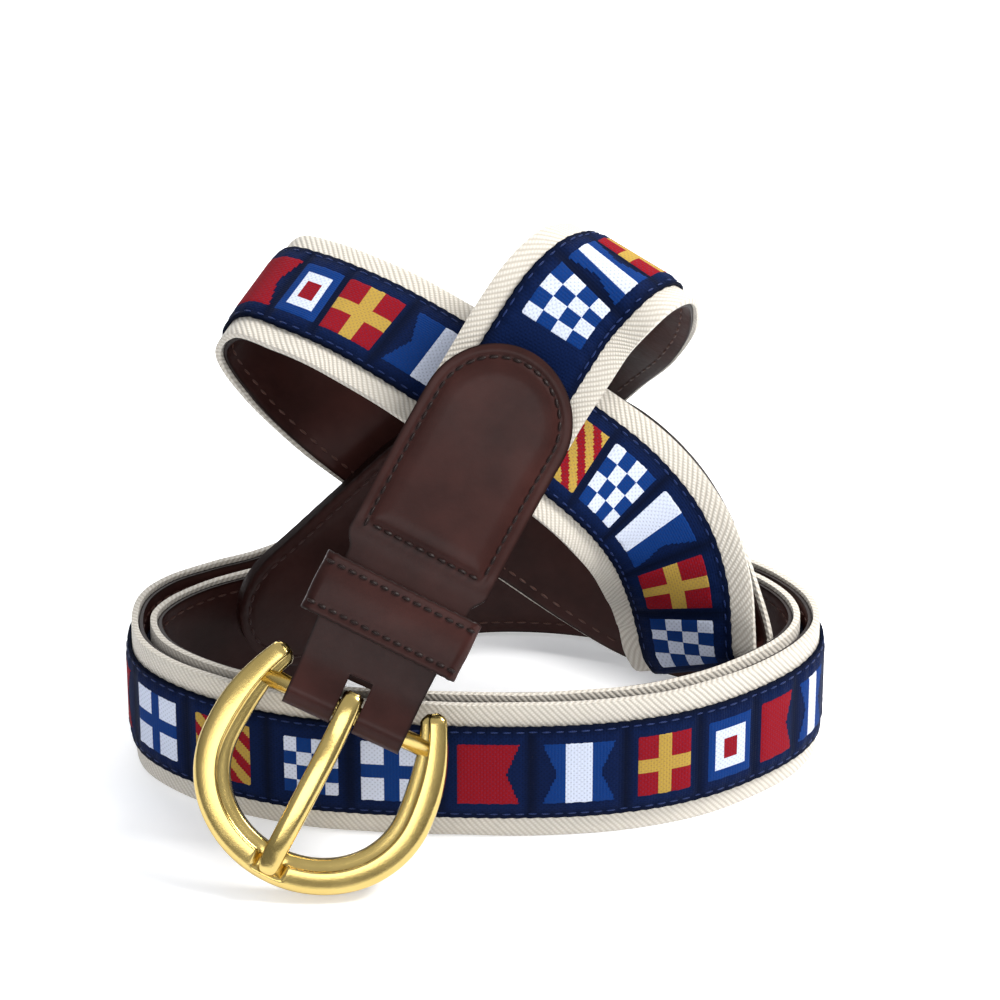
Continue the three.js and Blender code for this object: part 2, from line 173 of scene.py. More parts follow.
# The turn inside the right end and the tip's stretch: x, y, z, ax, ay, az
TAIL: tuple[Row, ...] = (
    (46.2, -8.3, 22.9, 0.8, -0.46, 0.36),
    (47.9, -7.5, 19.9, 0.8, -0.46, 0.36),
    (49.8, -4.9, 19.0, 0.8, -0.46, 0.36),
    (50.8, -2.1, 20.5, 0.8, -0.46, 0.36),
    (50.2, -0.7, 23.8, 0.8, -0.46, 0.36),
    (47.3, 0.7, 31.2, 0.8, -0.38, 0.42),
    (43.0, 3.6, 40.5, 0.78, -0.25, 0.55),
    (36.0, 8.5, 50.0, 0.68, -0.08, 0.72),
    (26.0, 14.0, 57.0, 0.48, 0.0, 0.88),
    (14.0, 18.0, 59.5, 0.22, 0.0, 0.97),
    (1.0, 18.5, 55.5, -0.05, 0.0, 1.0),
    (-11.0, 15.5, 47.5, -0.27, 0.0, 0.95),
    (-22.0, 10.5, 39.0, -0.42, -0.05, 0.9),
    (-33.0, 5.5, 31.0, -0.47, -0.14, 0.86),
    (-42.0, 1.8, 25.3, -0.46, -0.22, 0.85),
    (-49.0, -0.8, 20.9, -0.45, -0.26, 0.85),
)


def clamp(value: float) -> float:
    """Keep a value from 0 to 1."""
    return max(0.0, min(1.0, value))


def ease(value: float, start: float, end: float, first: float, last: float) -> float:
    """Ease from one number to another.

    Args:
        value: Where to read the easing.
        start: Where it begins.
        end: Where it ends.
        first: The number at the beginning.
        last: The number at the end.

    Returns:
        The eased number.
    """
    k = clamp((value - start) / (end - start))
    return first + (last - first) * k * k * (3 - 2 * k)


def ridge(distance: float, width: float) -> float:
    """Return a soft ridge that is 1 at distance 0 and fades over the width."""
    return math.exp(-((distance / width) ** 2))


def spread(start: float, end: float, step: float) -> list[float]:
    """Return even places from start to end, about a step apart."""
    count = max(1, round((end - start) / step))
    return [start + (end - start) * i / count for i in range(count + 1)]


def circle(degrees: float) -> tuple[float, float]:
    """Return the cosine and the sine of an angle."""
    return math.cos(math.radians(degrees)), math.sin(math.radians(degrees))


def inside(s: float, v: float, centre: float, half: float) -> float:
    """Return how far a place lies inside a strip that ends in a half circle round the centre."""
    return half - (math.hypot(s - centre, v) if s > centre else abs(v))


def horseshoe(start: float, centre: float, half: float) -> list[tuple[float, float]]:
    """Return a line along one side of a strip, round its end and back along the other side.

    Args:
        start: The length at its open end.
        centre: The length at the round end's centre.
        half: How far from the middle its sides run.

    Returns:
        Its points, as lengths and places across.
    """
    side = spread(start, centre, SEAM_STEP)
    arc = ((centre + half * c, half * s) for c, s in map(circle, range(-89, 90)))
    return [*((s, -half) for s in side), *arc, *((s, half) for s in reversed(side))]


def paced(outline: Sequence[tuple[float, float]], pitch: float) -> list[tuple[float, float, Matrix]]:
    """Set out stitches along a line.

    Args:
        outline: The line's points, as lengths and places across.
        pitch: The distance between two stitches.

    Returns:
        The length, place across and turn of each stitch.
    """
    stitches, travelled = [], 0.0
    for (s0, v0), (s1, v1) in zip(outline, outline[1:]):
        travelled += math.hypot(s1 - s0, v1 - v0)
        if travelled >= pitch:
            travelled -= pitch
            stitches.append((s1, v1, Matrix.Rotation(math.atan2(v1 - v0, s1 - s0), 4, "Z")))
    return stitches


def hermite(p1: Vector, p2: Vector, m1: Vector, m2: Vector, w: float) -> Vector:
    """Return the point at w from 0 to 1 between two points that have these speeds."""
    c2, c3 = -3 * p1 + 3 * p2 - 2 * m1 - m2, 2 * p1 - 2 * p2 + m1 + m2
    return p1 + m1 * w + c2 * w * w + c3 * w * w * w


def spline(points: Sequence[Vector], t: float, centripetal: bool = False) -> Vector:
    """Read a smooth curve through points.

    Args:
        points: The points that it goes through.
        t: From 0 at the first to 1 at the last.
        centripetal: Whether its speed follows the points' distances.

    Returns:
        The point at t.
    """
    last = len(points) - 1
    i = min(int(last * t), last - 1)
    p1, p2 = points[i], points[i + 1]
    p0 = points[i - 1] if i > 0 else points[0] * 2 - points[1]
    p3 = points[i + 2] if i + 2 <= last else points[last] * 2 - points[last - 1]
    if centripetal:
        d0, d1, d2 = (max(math.sqrt((b - a).length), 1e-4) for a, b in ((p0, p1), (p1, p2), (p2, p3)))
        m1 = ((p1 - p0) / d0 - (p2 - p0) / (d0 + d1) + (p2 - p1) / d1) * d1
        m2 = ((p2 - p1) / d1 - (p3 - p1) / (d1 + d2) + (p3 - p2) / d2) * d1
    else:
        m1, m2 = (p2 - p0) / 2, (p3 - p1) / 2
    return hermite(p1, p2, m1, m2, last * t - i)


@dataclass(frozen=True)
class Frame:
    """The strap's middle at one length, with its three directions, in millimetres."""

    s: float
    point: Vector
    tangent: Vector
    across: Vector
    normal: Vector

    def at(self, along: float, v: float, h: float) -> Vector:
        """Return a place beside this frame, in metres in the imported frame.

        Args:
            along: How far on along the strap.
            v: How far across it.
            h: How far outward.

        Returns:
            The place.
        """
        place = self.point + self.tangent * along + self.across * v + self.normal * h
        return (place + ORIGIN) * MM

    def matrix(self, v: float, h: float) -> Matrix:
        """Return a matrix with x along the strap, y across and z outward, at v and h."""
        turn = Matrix((self.tangent, self.across, self.normal)).transposed().to_4x4()
        return Matrix.Translation(self.at(0.0, v, h)) @ turn


@dataclass
class Route:
    """The whole strap's path through the coil."""

    frames: list[Frame] = field(default_factory=list)
    lengths: list[float] = field(default_factory=list)

    def __post_init__(self) -> None:
        """Lay the tables end to end and work out the frames along them."""
        turns = [*OUTER_TURN, *BACK, *self.inward(OUTER_TURN[INNER_TURN_FROM:])]
        rows = [*OVER, *((x, y, EDGE_HEIGHT, 0.0, 0.0, 1.0) for x, y in turns), *CROSSING, *TAIL]
        points, leans = [Vector(row[:3]) for row in rows], [Vector(row[3:]) for row in rows]
        count = (len(rows) - 1) * SAMPLES_PER_SPAN
        s = 0.0
        for i in range(count + 1):
            near = (i / count, min((i + 0.01) / count, 1.0), max((i - 0.01) / count, 0.0))
            point, ahead, behind = (spline(points, t, True) for t in near)
            tangent = (ahead - behind).normalized()
            across = spline(leans, i / count)
            across = (across - tangent * across.dot(tangent)).normalized()
            if self.frames:
                s += (point - self.frames[-1].point).length
            self.frames.append(Frame(s, point, tangent, across, tangent.cross(across)))
            self.lengths.append(s)

    @staticmethod
    def inward(rows: Sequence[Row]) -> list[Row]:
        """Move a turn's rows towards its inside by one layer.

        Args:
            rows: The turn's rows.

        Returns:
            The moved rows.
        """
        moved = []
        for i, (x, y) in enumerate(rows):
            before, after = rows[max(i - 1, 0)], rows[min(i + 1, len(rows) - 1)]
            along = Vector((after[0] - before[0], after[1] - before[1])).normalized()
            moved.append((x - along.y * LAYER, y + along.x * LAYER))
        return moved

    @property
    def length(self) -> float:
        """Return the strap's whole length from the buckle's bar."""
        return self.lengths[-1]

    def frame(self, s: float) -> Frame:
        """Return the frame at a length from the bar, straight on before the bar.

        Args:
            s: The length.

        Returns:
            The frame.
        """
        if s <= 0.0:
            first = self.frames[0]
            return Frame(s, first.point + first.tangent * s, first.tangent, first.across, first.normal)
        i = min(max(bisect_right(self.lengths, s), 1), len(self.frames) - 1)
        a, b = self.frames[i - 1], self.frames[i]
        k = (s - a.s) / (b.s - a.s)
        across = a.across.lerp(b.across, k).normalized()
        tangent = a.tangent.lerp(b.tangent, k).normalized()
        return Frame(s, a.point.lerp(b.point, k), tangent, across, tangent.cross(across))

    def buckle_matrix(self) -> Matrix:
        """Return the buckle's own frame at the bar, from millimetres to metres.

        Returns:
            The matrix.
        """
        first = self.frames[0]
        turn = Matrix((-first.across, first.tangent, first.normal)).transposed().to_4x4()
        return Matrix.Translation(first.at(0.0, 0.0, 0.0)) @ turn @ Matrix.Scale(MM, 4)


def finished(name: str, bm: bmesh.types.BMesh) -> bpy.types.Object:
    """Turn a bmesh into a linked object with smooth faces, and free it.

    Args:
        name: The object's name.
        bm: The mesh.

    Returns:
        The object.
    """
    mesh = bpy.data.meshes.new(name)
    for face in bm.faces:
        face.smooth = True
    bm.to_mesh(mesh)
    bm.free()
    piece = bpy.data.objects.new(name, mesh)
    bpy.context.scene.collection.objects.link(piece)
    return piece


def closed(rows: int, lanes: int, point: Callable[[int, int], Vector]) -> bmesh.types.BMesh:
    """Make a closed tube whose lanes run round it and whose open ends are capped.

    Args:
        rows: Steps along it.
        lanes: Steps round it.
        point: Place of a row and lane, where the last lane meets the first.

    Returns:
        The tube's bmesh.
    """
    bm = bmesh.new()
    bmesh.ops.create_grid(bm, x_segments=rows, y_segments=lanes, size=0.5)
    for vert in bm.verts:
        vert.co = point(round((vert.co.x + 0.5) * rows), round((vert.co.y + 0.5) * lanes))
    bmesh.ops.remove_doubles(bm, verts=bm.verts[:], dist=WELD)
    bmesh.ops.holes_fill(bm, edges=[edge for edge in bm.edges if edge.is_boundary], sides=0)
    bmesh.ops.recalc_face_normals(bm, faces=bm.faces[:])
    for face in bm.faces:
        face.smooth = True
    return bm


@dataclass
class Slab:
    """A sheet with a thickness, drawn on a grid of rows along it and lanes across it."""

    name: str
    rows: int
    lanes: int
    point: Callable[[int, int, int], Vector]
    uv: Callable[[int, int], tuple[float, float]]
    rim: Callable[[int, int], float]
    rounding: float
    keep: Callable[[int, int], bool] | None = None
    sharp_angle: float = 1.1

    def build(self) -> bpy.types.Object:
        """Make the sheet's mesh, round its edges and link its object.

        Returns:
            The object.
        """
        bm = bmesh.new()
        sheet = bm.loops.layers.uv.new("UVMap")
        bmesh.ops.create_grid(bm, x_segments=self.rows, y_segments=self.lanes, size=0.5)
        row, lane = bm.verts.layers.int.new("row"), bm.verts.layers.int.new("lane")
        rim, side = bm.verts.layers.float.new("rim"), bm.verts.layers.int.new("side")
        for vert in bm.verts:
            vert[row] = round((vert.co.x + 0.5) * self.rows)
            vert[lane] = round((vert.co.y + 0.5) * self.lanes)
        if self.keep:
            places = ((f, min(v[row] for v in f.verts), min(v[lane] for v in f.verts)) for f in bm.faces)
            bmesh.ops.delete(bm, geom=[f for f, i, j in places if not self.keep(i, j)], context="FACES")
        under = list(bm.verts)
        made = bmesh.ops.extrude_face_region(bm, geom=bm.faces[:], use_keep_orig=True)
        for part in made["geom"]:
            if isinstance(part, bmesh.types.BMVert):
                part[side] = 1
        for vert in under:
            vert[side] = 0
        for vert in bm.verts:
            vert.co = self.point(vert[row], vert[lane], vert[side])
            vert[rim] = self.rim(vert[row], vert[lane])
        for face in bm.faces:
            for loop in face.loops:
                s, v = self.uv(loop.vert[row], loop.vert[lane])
                loop[sheet].uv = (s * MM, (v + loop.vert[side]) * MM)
        bmesh.ops.remove_doubles(bm, verts=bm.verts[:], dist=10 * WELD)
        bmesh.ops.recalc_face_normals(bm, faces=bm.faces[:])
        if self.rounding:
            self.round_edges(bm)
        return finished(self.name, bm)

    def round_edges(self, bm: bmesh.types.BMesh) -> None:
        """Round the sheet's sharp edges with a narrow bevel.

        Args:
            bm: The sheet's mesh.
        """
        sharp = [e for e in bm.edges if len(e.link_faces) == 2 and e.calc_face_angle(0.0) > self.sharp_angle]
        bmesh.ops.bevel(
            bm, geom=sharp, offset=self.rounding * MM, offset_type="OFFSET", segments=2, profile=0.5,
            affect="EDGES", clamp_overlap=True, material=-1,
        )


class Nodes:
    """A short way to write a node tree."""

    def __init__(self, tree: bpy.types.NodeTree) -> None:
        """Take the tree to write in."""
        self.tree = tree

    def feed(self, node: bpy.types.Node, inputs: dict[str | int, object]) -> None:
        """Set a node's inputs to values, or link them to sockets.

        Args:
            node: The node.
            inputs: Values or sockets by input.
        """
        for key, value in inputs.items():
            if isinstance(value, Socket):
                self.tree.links.new(value, node.inputs[key])
            else:
                node.inputs[key].default_value = value

    def add(
        self, kind: str, inputs: dict[str | int, object] | None = None, **settings: object
    ) -> bpy.types.Node:
        """Add a node.

        Args:
            kind: The node's type.
            inputs: Values or sockets for its inputs.
            **settings: The node's own settings.

        Returns:
            The node.
        """
        node = self.tree.nodes.new(kind)
        for key, value in settings.items():
            setattr(node, key, value)
        self.feed(node, inputs or {})
        return node

    def math(self, operation: str, *values: object) -> Socket:
        """Add a Math node and return its value."""
        return self.add("ShaderNodeMath", dict(enumerate(values)), operation=operation).outputs[0]

    def vector(self, operation: str, inputs: dict[str | int, object]) -> bpy.types.Node:
        """Add a Vector Math node."""
        return self.add("ShaderNodeVectorMath", inputs, operation=operation)

    def mix(self, factor: object, first: object, second: object) -> Socket:
        """Mix two colours and return the result."""
        return self.add("ShaderNodeMix", {0: factor, 6: first, 7: second}, data_type="RGBA").outputs[2]

    def wave(self, vector: Socket, direction: tuple[float, float, float]) -> Socket:
        """Return a wave from 0 to 1 along a direction given in turns per metre.

        Args:
            vector: The place.
            direction: How often it repeats along each axis.

        Returns:
            The wave.
        """
        turns = tuple(2 * math.pi * d for d in direction)
        dot = self.vector("DOT_PRODUCT", {0: vector, 1: turns}).outputs["Value"]
        return self.math("MULTIPLY_ADD", self.math("SINE", dot), 0.5, 0.5)

    def noise(self, vector: Socket, scale: float, detail: float) -> Socket:
        """Return a noise's value."""
        return self.add("ShaderNodeTexNoise", {"Vector": vector, "Scale": scale, "Detail": detail}).outputs["Fac"]

    def bump(self, height: Socket, strength: float, distance: float) -> Socket:
        """Return the normal that a height gives."""
        inputs = {"Height": height, "Strength": strength, "Distance": distance}
        return self.add("ShaderNodeBump", inputs).outputs["Normal"]

    def ramp(self, value: Socket, start: float, end: float, first: float = 0.0, last: float = 1.0) -> Socket:
        """Map a value from one range to another."""
        return self.add("ShaderNodeMapRange", {"Value": value, 1: start, 2: end, 3: first, 4: last}).outputs["Result"]

    def source(self, kind: str, output: str, **settings: object) -> Socket:
        """Return one output of an input node."""
        return self.add(kind, **settings).outputs[output]

    def place(self) -> Socket:
        """Return the object coordinates."""
        return self.source("ShaderNodeTexCoord", "Object")

    def rim(self, reach: float) -> Socket:
        """Return a mask that is 1 at a piece's rim and 0 further in than the reach in millimetres."""
        return self.ramp(self.source("ShaderNodeAttribute", "Fac", attribute_name="rim"), 0.0, reach, 1.0, 0.0)


class Effects:
    """The shared node groups, each built once."""

    def __init__(self) -> None:
        """Build the groups."""
        self.twill = self.build_twill()
        self.threads = self.build_threads()
        self.grain = self.build_grain()

    @staticmethod
    def begin(name: str, **inputs: float) -> tuple[Nodes, bpy.types.Node]:
        """Start a group with a vector input and number inputs.

        Args:
            name: The group's name.
            **inputs: The defaults of its number inputs.

        Returns:
            The group's writer and its input node.
        """
        tree = bpy.data.node_groups.new(name, "ShaderNodeTree")
        tree.interface.new_socket("Vector", in_out="INPUT", socket_type="NodeSocketVector")
        for key, value in inputs.items():
            socket = tree.interface.new_socket(key, in_out="INPUT", socket_type="NodeSocketFloat")
            socket.default_value = value
        nodes = Nodes(tree)
        return nodes, nodes.add("NodeGroupInput")

    @staticmethod
    def end(nodes: Nodes, **outputs: Socket) -> bpy.types.NodeTree:
        """Give a group its number outputs and return it.

        Args:
            nodes: The group's writer.
            **outputs: The outputs' sockets.

        Returns:
            The group.
        """
        for key in outputs:
            nodes.tree.interface.new_socket(key, in_out="OUTPUT", socket_type="NodeSocketFloat")
        nodes.add("NodeGroupOutput", outputs)
        return nodes.tree

    def build_twill(self) -> bpy.types.NodeTree:
        """Build the canvas's slanting ribs, each of short slanting yarns.

        Returns:
            The group.
        """
        nodes, start = self.begin("twill weave")
        vector = start.outputs["Vector"]
        drift = nodes.add("ShaderNodeTexNoise", {"Vector": vector, "Scale": 260.0, "Detail": 2.0})
        nudge = nodes.vector("MULTIPLY", {0: drift.outputs["Color"], 1: (0.00035, 0.00035, 0.0)})
        moved = nodes.vector("ADD", {0: vector, 1: nudge.outputs[0]}).outputs[0]
        rib = nodes.math("POWER", nodes.wave(moved, (760.0, 660.0, 0.0)), 0.7)
        yarn = nodes.math("MULTIPLY_ADD", nodes.wave(moved, (-900.0, 1450.0, 0.0)), 0.4, 0.6)
        weave = nodes.math("MULTIPLY", rib, yarn)
        fuzz = nodes.noise(vector, 3200.0, 3.0)
        height = nodes.math("MULTIPLY_ADD", fuzz, 0.3, nodes.math("MULTIPLY", weave, 0.8))
        # Shade is the weave's height pattern, which the canvas uses for painted shade in its hollows
        return self.end(nodes, Height=height, Shade=weave)

    def build_threads(self) -> bpy.types.NodeTree:
        """Build the ribbon's fine plain weave with its small dots, which the ribbon uses as painted shade between its
        threads.

        Returns:
            The group.
        """
        nodes, start = self.begin("fine threads")
        vector = start.outputs["Vector"]
        along, across, one, other = (
            nodes.wave(vector, (x, y, 0.0))
            for x, y in ((1500.0, 0.0), (0.0, 1900.0), (900.0, 900.0), (900.0, -900.0))
        )
        fuzz = nodes.noise(vector, 2600.0, 2.0)
        height = nodes.math("MULTIPLY_ADD", along, 0.4, nodes.math("MULTIPLY_ADD", across, 0.35, fuzz))
        # dots between the threads, later painted as shade
        dots = nodes.math("POWER", nodes.math("MULTIPLY", one, other), 2.0)
        return self.end(nodes, Height=height, Dots=dots)

    def build_grain(self) -> bpy.types.NodeTree:
        """Build the leather's pebbled grain, pores and long creases.

        Returns:
            The group.
        """
        nodes, start = self.begin("leather grain", Size=1.0)
        scaled = nodes.vector("SCALE", {0: start.outputs["Vector"], "Scale": start.outputs["Size"]})
        vector = scaled.outputs[0]
        pebble = nodes.add("ShaderNodeTexVoronoi", {"Vector": vector, "Scale": 1500.0}, feature="SMOOTH_F1")
        folds = {"Vector": vector, "Scale": 420.0, "Detail": 5.0, "Roughness": 0.6}
        crease = nodes.add("ShaderNodeTexNoise", folds)
        height = nodes.math("MULTIPLY_ADD", pebble.outputs["Distance"], 0.35, crease.outputs["Fac"])
        return self.end(nodes, Height=height, Shade=nodes.noise(vector, 70.0, 3.0))


@dataclass(frozen=True)
class Finish:
    """A material with a Principled shader, whose inputs each kind of finish gives."""

    name: str

    def inputs(self, nodes: Nodes, effects: Effects) -> dict[str, object]:
        """Return the shader's inputs, as values or sockets."""
        raise NotImplementedError

    def dress(self, piece: bpy.types.Object, effects: Effects) -> bpy.types.Object:
        """Give a piece this finish, and return it.

        Args:
            piece: The piece.
            effects: The shared node groups.

        Returns:
            The piece.
        """
        material = bpy.data.materials.new(self.name)
        material.use_nodes = True
        nodes = Nodes(material.node_tree)
        nodes.feed(material.node_tree.nodes["Principled BSDF"], self.inputs(nodes, effects))
        piece.data.materials.append(material)
        return piece


@dataclass(frozen=True)
class CanvasFinish(Finish):
    """Cream cotton twill."""

    raised: Colour = (0.69, 0.66, 0.6, 1.0)
    # painted shade: the darker colour of the twill's sunk yarns
    hollow_shade: Colour = (0.47, 0.43, 0.37, 1.0)
    stain: Colour = (0.62, 0.53, 0.41, 1.0)

    def inputs(self, nodes: Nodes, effects: Effects) -> dict[str, object]:
        """Return the twill with painted shade on its sunk yarns and faint yellowing.

        Args:
            nodes: The material's writer.
            effects: The shared node groups.

        Returns:
            The inputs by name.
        """
        uv = nodes.source("ShaderNodeUVMap", "UV")
        weave = nodes.add("ShaderNodeGroup", {"Vector": uv}, node_tree=effects.twill).outputs
        cloud = nodes.math("MULTIPLY", nodes.noise(nodes.place(), 45.0, 3.0), 0.16)
        return {
            # the weave's mask darkens its sunk yarns as painted shade; the cloud adds faint yellowing
            "Base Color": nodes.mix(cloud, nodes.mix(weave["Shade"], self.hollow_shade, self.raised), self.stain),
            "Normal": nodes.bump(weave["Height"], 0.6, 0.00035),
            "Roughness": 0.88,
            "Sheen Weight": 0.25,
            "Sheen Roughness": 0.5,
            "Specular IOR Level": 0.25,
        }


@dataclass(frozen=True)
class RibbonFinish(Finish):
    """Woven ribbon in one colour, or in the colours that a mesh carries."""

    colour: Colour = (0.0018, 0.0085, 0.045, 1.0)
    # painted shade: darker navy for the ribbon's edges and creases and for the dots between its threads
    shaded_navy: Colour = (0.0008, 0.003, 0.014, 1.0)
    # painted shade for the flag yarns: dark navy mixed into them in the dots between their threads
    between: Colour = (0.02, 0.03, 0.08, 1.0)
    woven: bool = False

    def inputs(self, nodes: Nodes, effects: Effects) -> dict[str, object]:
        """Return the weave, with painted shade as dark dots between its threads and as a dark rim at its edges and
        creases.

        Args:
            nodes: The material's writer.
            effects: The shared node groups.

        Returns:
            The inputs by name.
        """
        uv = nodes.source("ShaderNodeUVMap", "UV")
        weave = nodes.add("ShaderNodeGroup", {"Vector": uv}, node_tree=effects.threads).outputs
        if self.woven:
            base = nodes.source("ShaderNodeAttribute", "Color", attribute_name="weave")
            # painted shade colour for the dots between the flag yarns' threads
            dark, share = nodes.mix(0.42, base, self.between), 0.9
        else:
            # painted shade at the ribbon's edges and at the creases between flags, through the rim mask
            base = nodes.mix(nodes.rim(2.6), self.colour, self.shaded_navy)
            dark, share = self.shaded_navy, 0.6
        return {
            # the dots mix in painted shade between the threads
            "Base Color": nodes.mix(nodes.math("MULTIPLY", weave["Dots"], share), base, dark),
            "Normal": nodes.bump(weave["Height"], 0.5, 0.00016),
            "Roughness": 0.7,
            "Specular IOR Level": 0.05,
        }


@dataclass(frozen=True)
class LeatherFinish(Finish):
    """Dark brown dressed leather."""

    colour: Colour = (0.024, 0.0075, 0.0062, 1.0)
    light: Colour = (0.046, 0.015, 0.0125, 1.0)
    edge: Colour = (0.009, 0.0032, 0.0026, 1.0)
    roughness: float = 0.42
    size: float = 1.0
    relief: float = 0.25

    def inputs(self, nodes: Nodes, effects: Effects) -> dict[str, object]:
        """Return the grain, with lighter patches and a dark rim.

        Args:
            nodes: The material's writer.
            effects: The shared node groups.

        Returns:
            The inputs by name.
        """
        feed = {"Size": self.size, "Vector": nodes.place()}
        grain = nodes.add("ShaderNodeGroup", feed, node_tree=effects.grain).outputs
        colour = nodes.mix(nodes.ramp(grain["Shade"], 0.35, 0.75), self.colour, self.light)
        return {
            "Base Color": nodes.mix(nodes.rim(0.7), colour, self.edge),
            "Normal": nodes.bump(grain["Height"], self.relief, 0.0003),
            "Roughness": nodes.math("MULTIPLY_ADD", grain["Height"], 0.16, self.roughness - 0.1),
            "Specular IOR Level": 0.1,
            "Coat Weight": 0.07,
            "Coat Roughness": 0.22,
        }


@dataclass(frozen=True)
class ThreadFinish(Finish):
    """Waxed sewing thread."""

    colour: Colour

    def inputs(self, nodes: Nodes, effects: Effects) -> dict[str, object]:
        """Return a twisted thread with a soft shine and painted shade in the grooves of its twist.

        Args:
            nodes: The material's writer.
            effects: The shared node groups; not used here.

        Returns:
            The inputs by name.
        """
        twist = nodes.wave(nodes.place(), (2100.0, 1700.0, 1900.0))
        # painted shade: the twist's grooves are darker
        dark = tuple(0.55 * c for c in self.colour[:3]) + (1.0,)
        return {
            "Base Color": nodes.mix(twist, dark, self.colour),
            "Normal": nodes.bump(twist, 0.4, 0.0001),
            "Roughness": 0.45,
            "Specular IOR Level": 0.22,
        }


@dataclass(frozen=True)
class BrassFinish(Finish):
    """Polished yellow brass with fine wear."""

    colour: Colour = (0.7, 0.53, 0.2, 1.0)
    worn: Colour = (0.56, 0.41, 0.13, 1.0)
    roughness: float = 0.22

    def inputs(self, nodes: Nodes, effects: Effects) -> dict[str, object]:
        """Return polished brass, slightly uneven and finely scratched.

        Args:
            nodes: The material's writer.
            effects: The shared node groups; not used here.

        Returns:
            The inputs by name.
        """
        place = nodes.place()
        cloud, fine = nodes.noise(place, 120.0, 4.0), nodes.noise(place, 2500.0, 2.0)
        return {
            "Base Color": nodes.mix(cloud, self.worn, self.colour),
            "Normal": nodes.bump(nodes.math("MULTIPLY_ADD", fine, 0.25, cloud), 0.12, 0.0004),
            "Roughness": nodes.math("MULTIPLY_ADD", cloud, 0.14, self.roughness - 0.06),
            "Metallic": 1.0,
        }


@dataclass(frozen=True)
class FloorFinish(Finish):
    """Bright studio paper."""

    low: Colour = (0.9, 0.905, 0.92, 1.0)
    high: Colour = (0.92, 0.925, 0.935, 1.0)

    def inputs(self, nodes: Nodes, effects: Effects) -> dict[str, object]:
        """Return matt paper that glows a little.

        Args:
            nodes: The material's writer.
            effects: The shared node groups; not used here.

        Returns:
            The inputs by name.
        """
        return {
            "Base Color": nodes.mix(nodes.noise(nodes.place(), 300.0, 3.0), self.low, self.high),
            "Roughness": 0.9,
            "Specular IOR Level": 0.1,
            "Emission Color": (0.95, 0.97, 1.0, 1.0),
            "Emission Strength": 0.34,
        }


@dataclass(frozen=True)
class Thread:
    """A sewing thread: its colour, and the length, width and height of one stitch."""

    finish: str
    colour: Colour
    length: float
    width: float
    height: float
    batch: int = 24

    def sew(self, name: str, places: Iterable[Matrix], effects: Effects) -> bpy.types.Object:
        """Make one mesh of stitches.

        Args:
            name: The object's name.
            places: A matrix for each stitch, x along it and z out of the surface.
            effects: The shared node groups.

        Returns:
            The new object.
        """
        size = Matrix.Diagonal((self.length * MM / 2, self.width * MM / 2, self.height * MM / 2, 1.0))
        ends = Matrix.Rotation(math.pi / 2, 4, "Y")
        spots = list(places)
        whole = bmesh.new()
        for first in range(0, len(spots), self.batch):
            few = bmesh.new()
            for place in spots[first : first + self.batch]:
                bmesh.ops.create_uvsphere(few, u_segments=8, v_segments=6, radius=1.0, matrix=place @ size @ ends)
            mesh = bpy.data.meshes.new(name)
            few.to_mesh(mesh)
            few.free()
            whole.from_mesh(mesh)
            bpy.data.meshes.remove(mesh)
        return ThreadFinish(self.finish, self.colour).dress(finished(name, whole), effects)


class Motif(Enum):
    """The flags that the ribbon carries."""

    CROSS = "white with a blue cross"
    STRIPES = "yellow and red slanting stripes"
    CHECKS = "blue and white checks"
    SWALLOW = "red swallowtail"
    BANNER = "blue with a white middle, notched at both ends"
    HALVES = "white and blue swallowtail"
    SALTIRE = "red with a yellow upright cross"
    NESTED = "red in white in blue"


class Yarn(Enum):
    """The flags' yarn colours."""

    WHITE = (0.56, 0.61, 0.74, 1.0)
    BLUE = (0.003, 0.03, 0.155, 1.0)
    RED = (0.22, 0.005, 0.011, 1.0)
    YELLOW = (0.4, 0.26, 0.05, 1.0)


@dataclass(frozen=True)
class Flag:
    """One flag: its middle along the strap, its length and its pattern."""

    s: float
    length: float
    motif: Motif
    turned: bool = False
    half: float = 7.3

    def yarn(self, u: float, v: float) -> Yarn | None:
        """Choose the yarn at a place on the flag.

        Args:
            u: From 0 at its mast side to 1 at its free side.
            v: From 0 at its foot to 1 at its head.

        Returns:
            The yarn, or None where the ribbon shows.
        """
        x, y = abs(u - 0.5), abs(v - 0.5)
        notched = y < 0.5 * (u - 0.78) / 0.22
        match self.motif:
            case Motif.CROSS:
                return Yarn.BLUE if x < 0.11 or y < 0.1 else Yarn.WHITE
            case Motif.STRIPES:
                return Yarn.YELLOW if int((u + v) * 4.5) % 2 == 0 else Yarn.RED
            case Motif.CHECKS:
                return Yarn.WHITE if (int(u * 4) + int(v * 4)) % 2 else Yarn.BLUE
            case Motif.SWALLOW:
                return None if notched else Yarn.RED
            case Motif.HALVES:
                return None if notched else Yarn.WHITE if u < 0.48 else Yarn.BLUE
            case Motif.BANNER:
                return None if y < 0.5 * (x - 0.3) / 0.2 else Yarn.WHITE if x < 0.18 else Yarn.BLUE
            case Motif.SALTIRE:
                return Yarn.YELLOW if x < 0.12 or y < 0.11 else Yarn.RED
        ring = max(x, y)
        return Yarn.RED if ring < 0.17 else Yarn.WHITE if ring < 0.33 else Yarn.BLUE


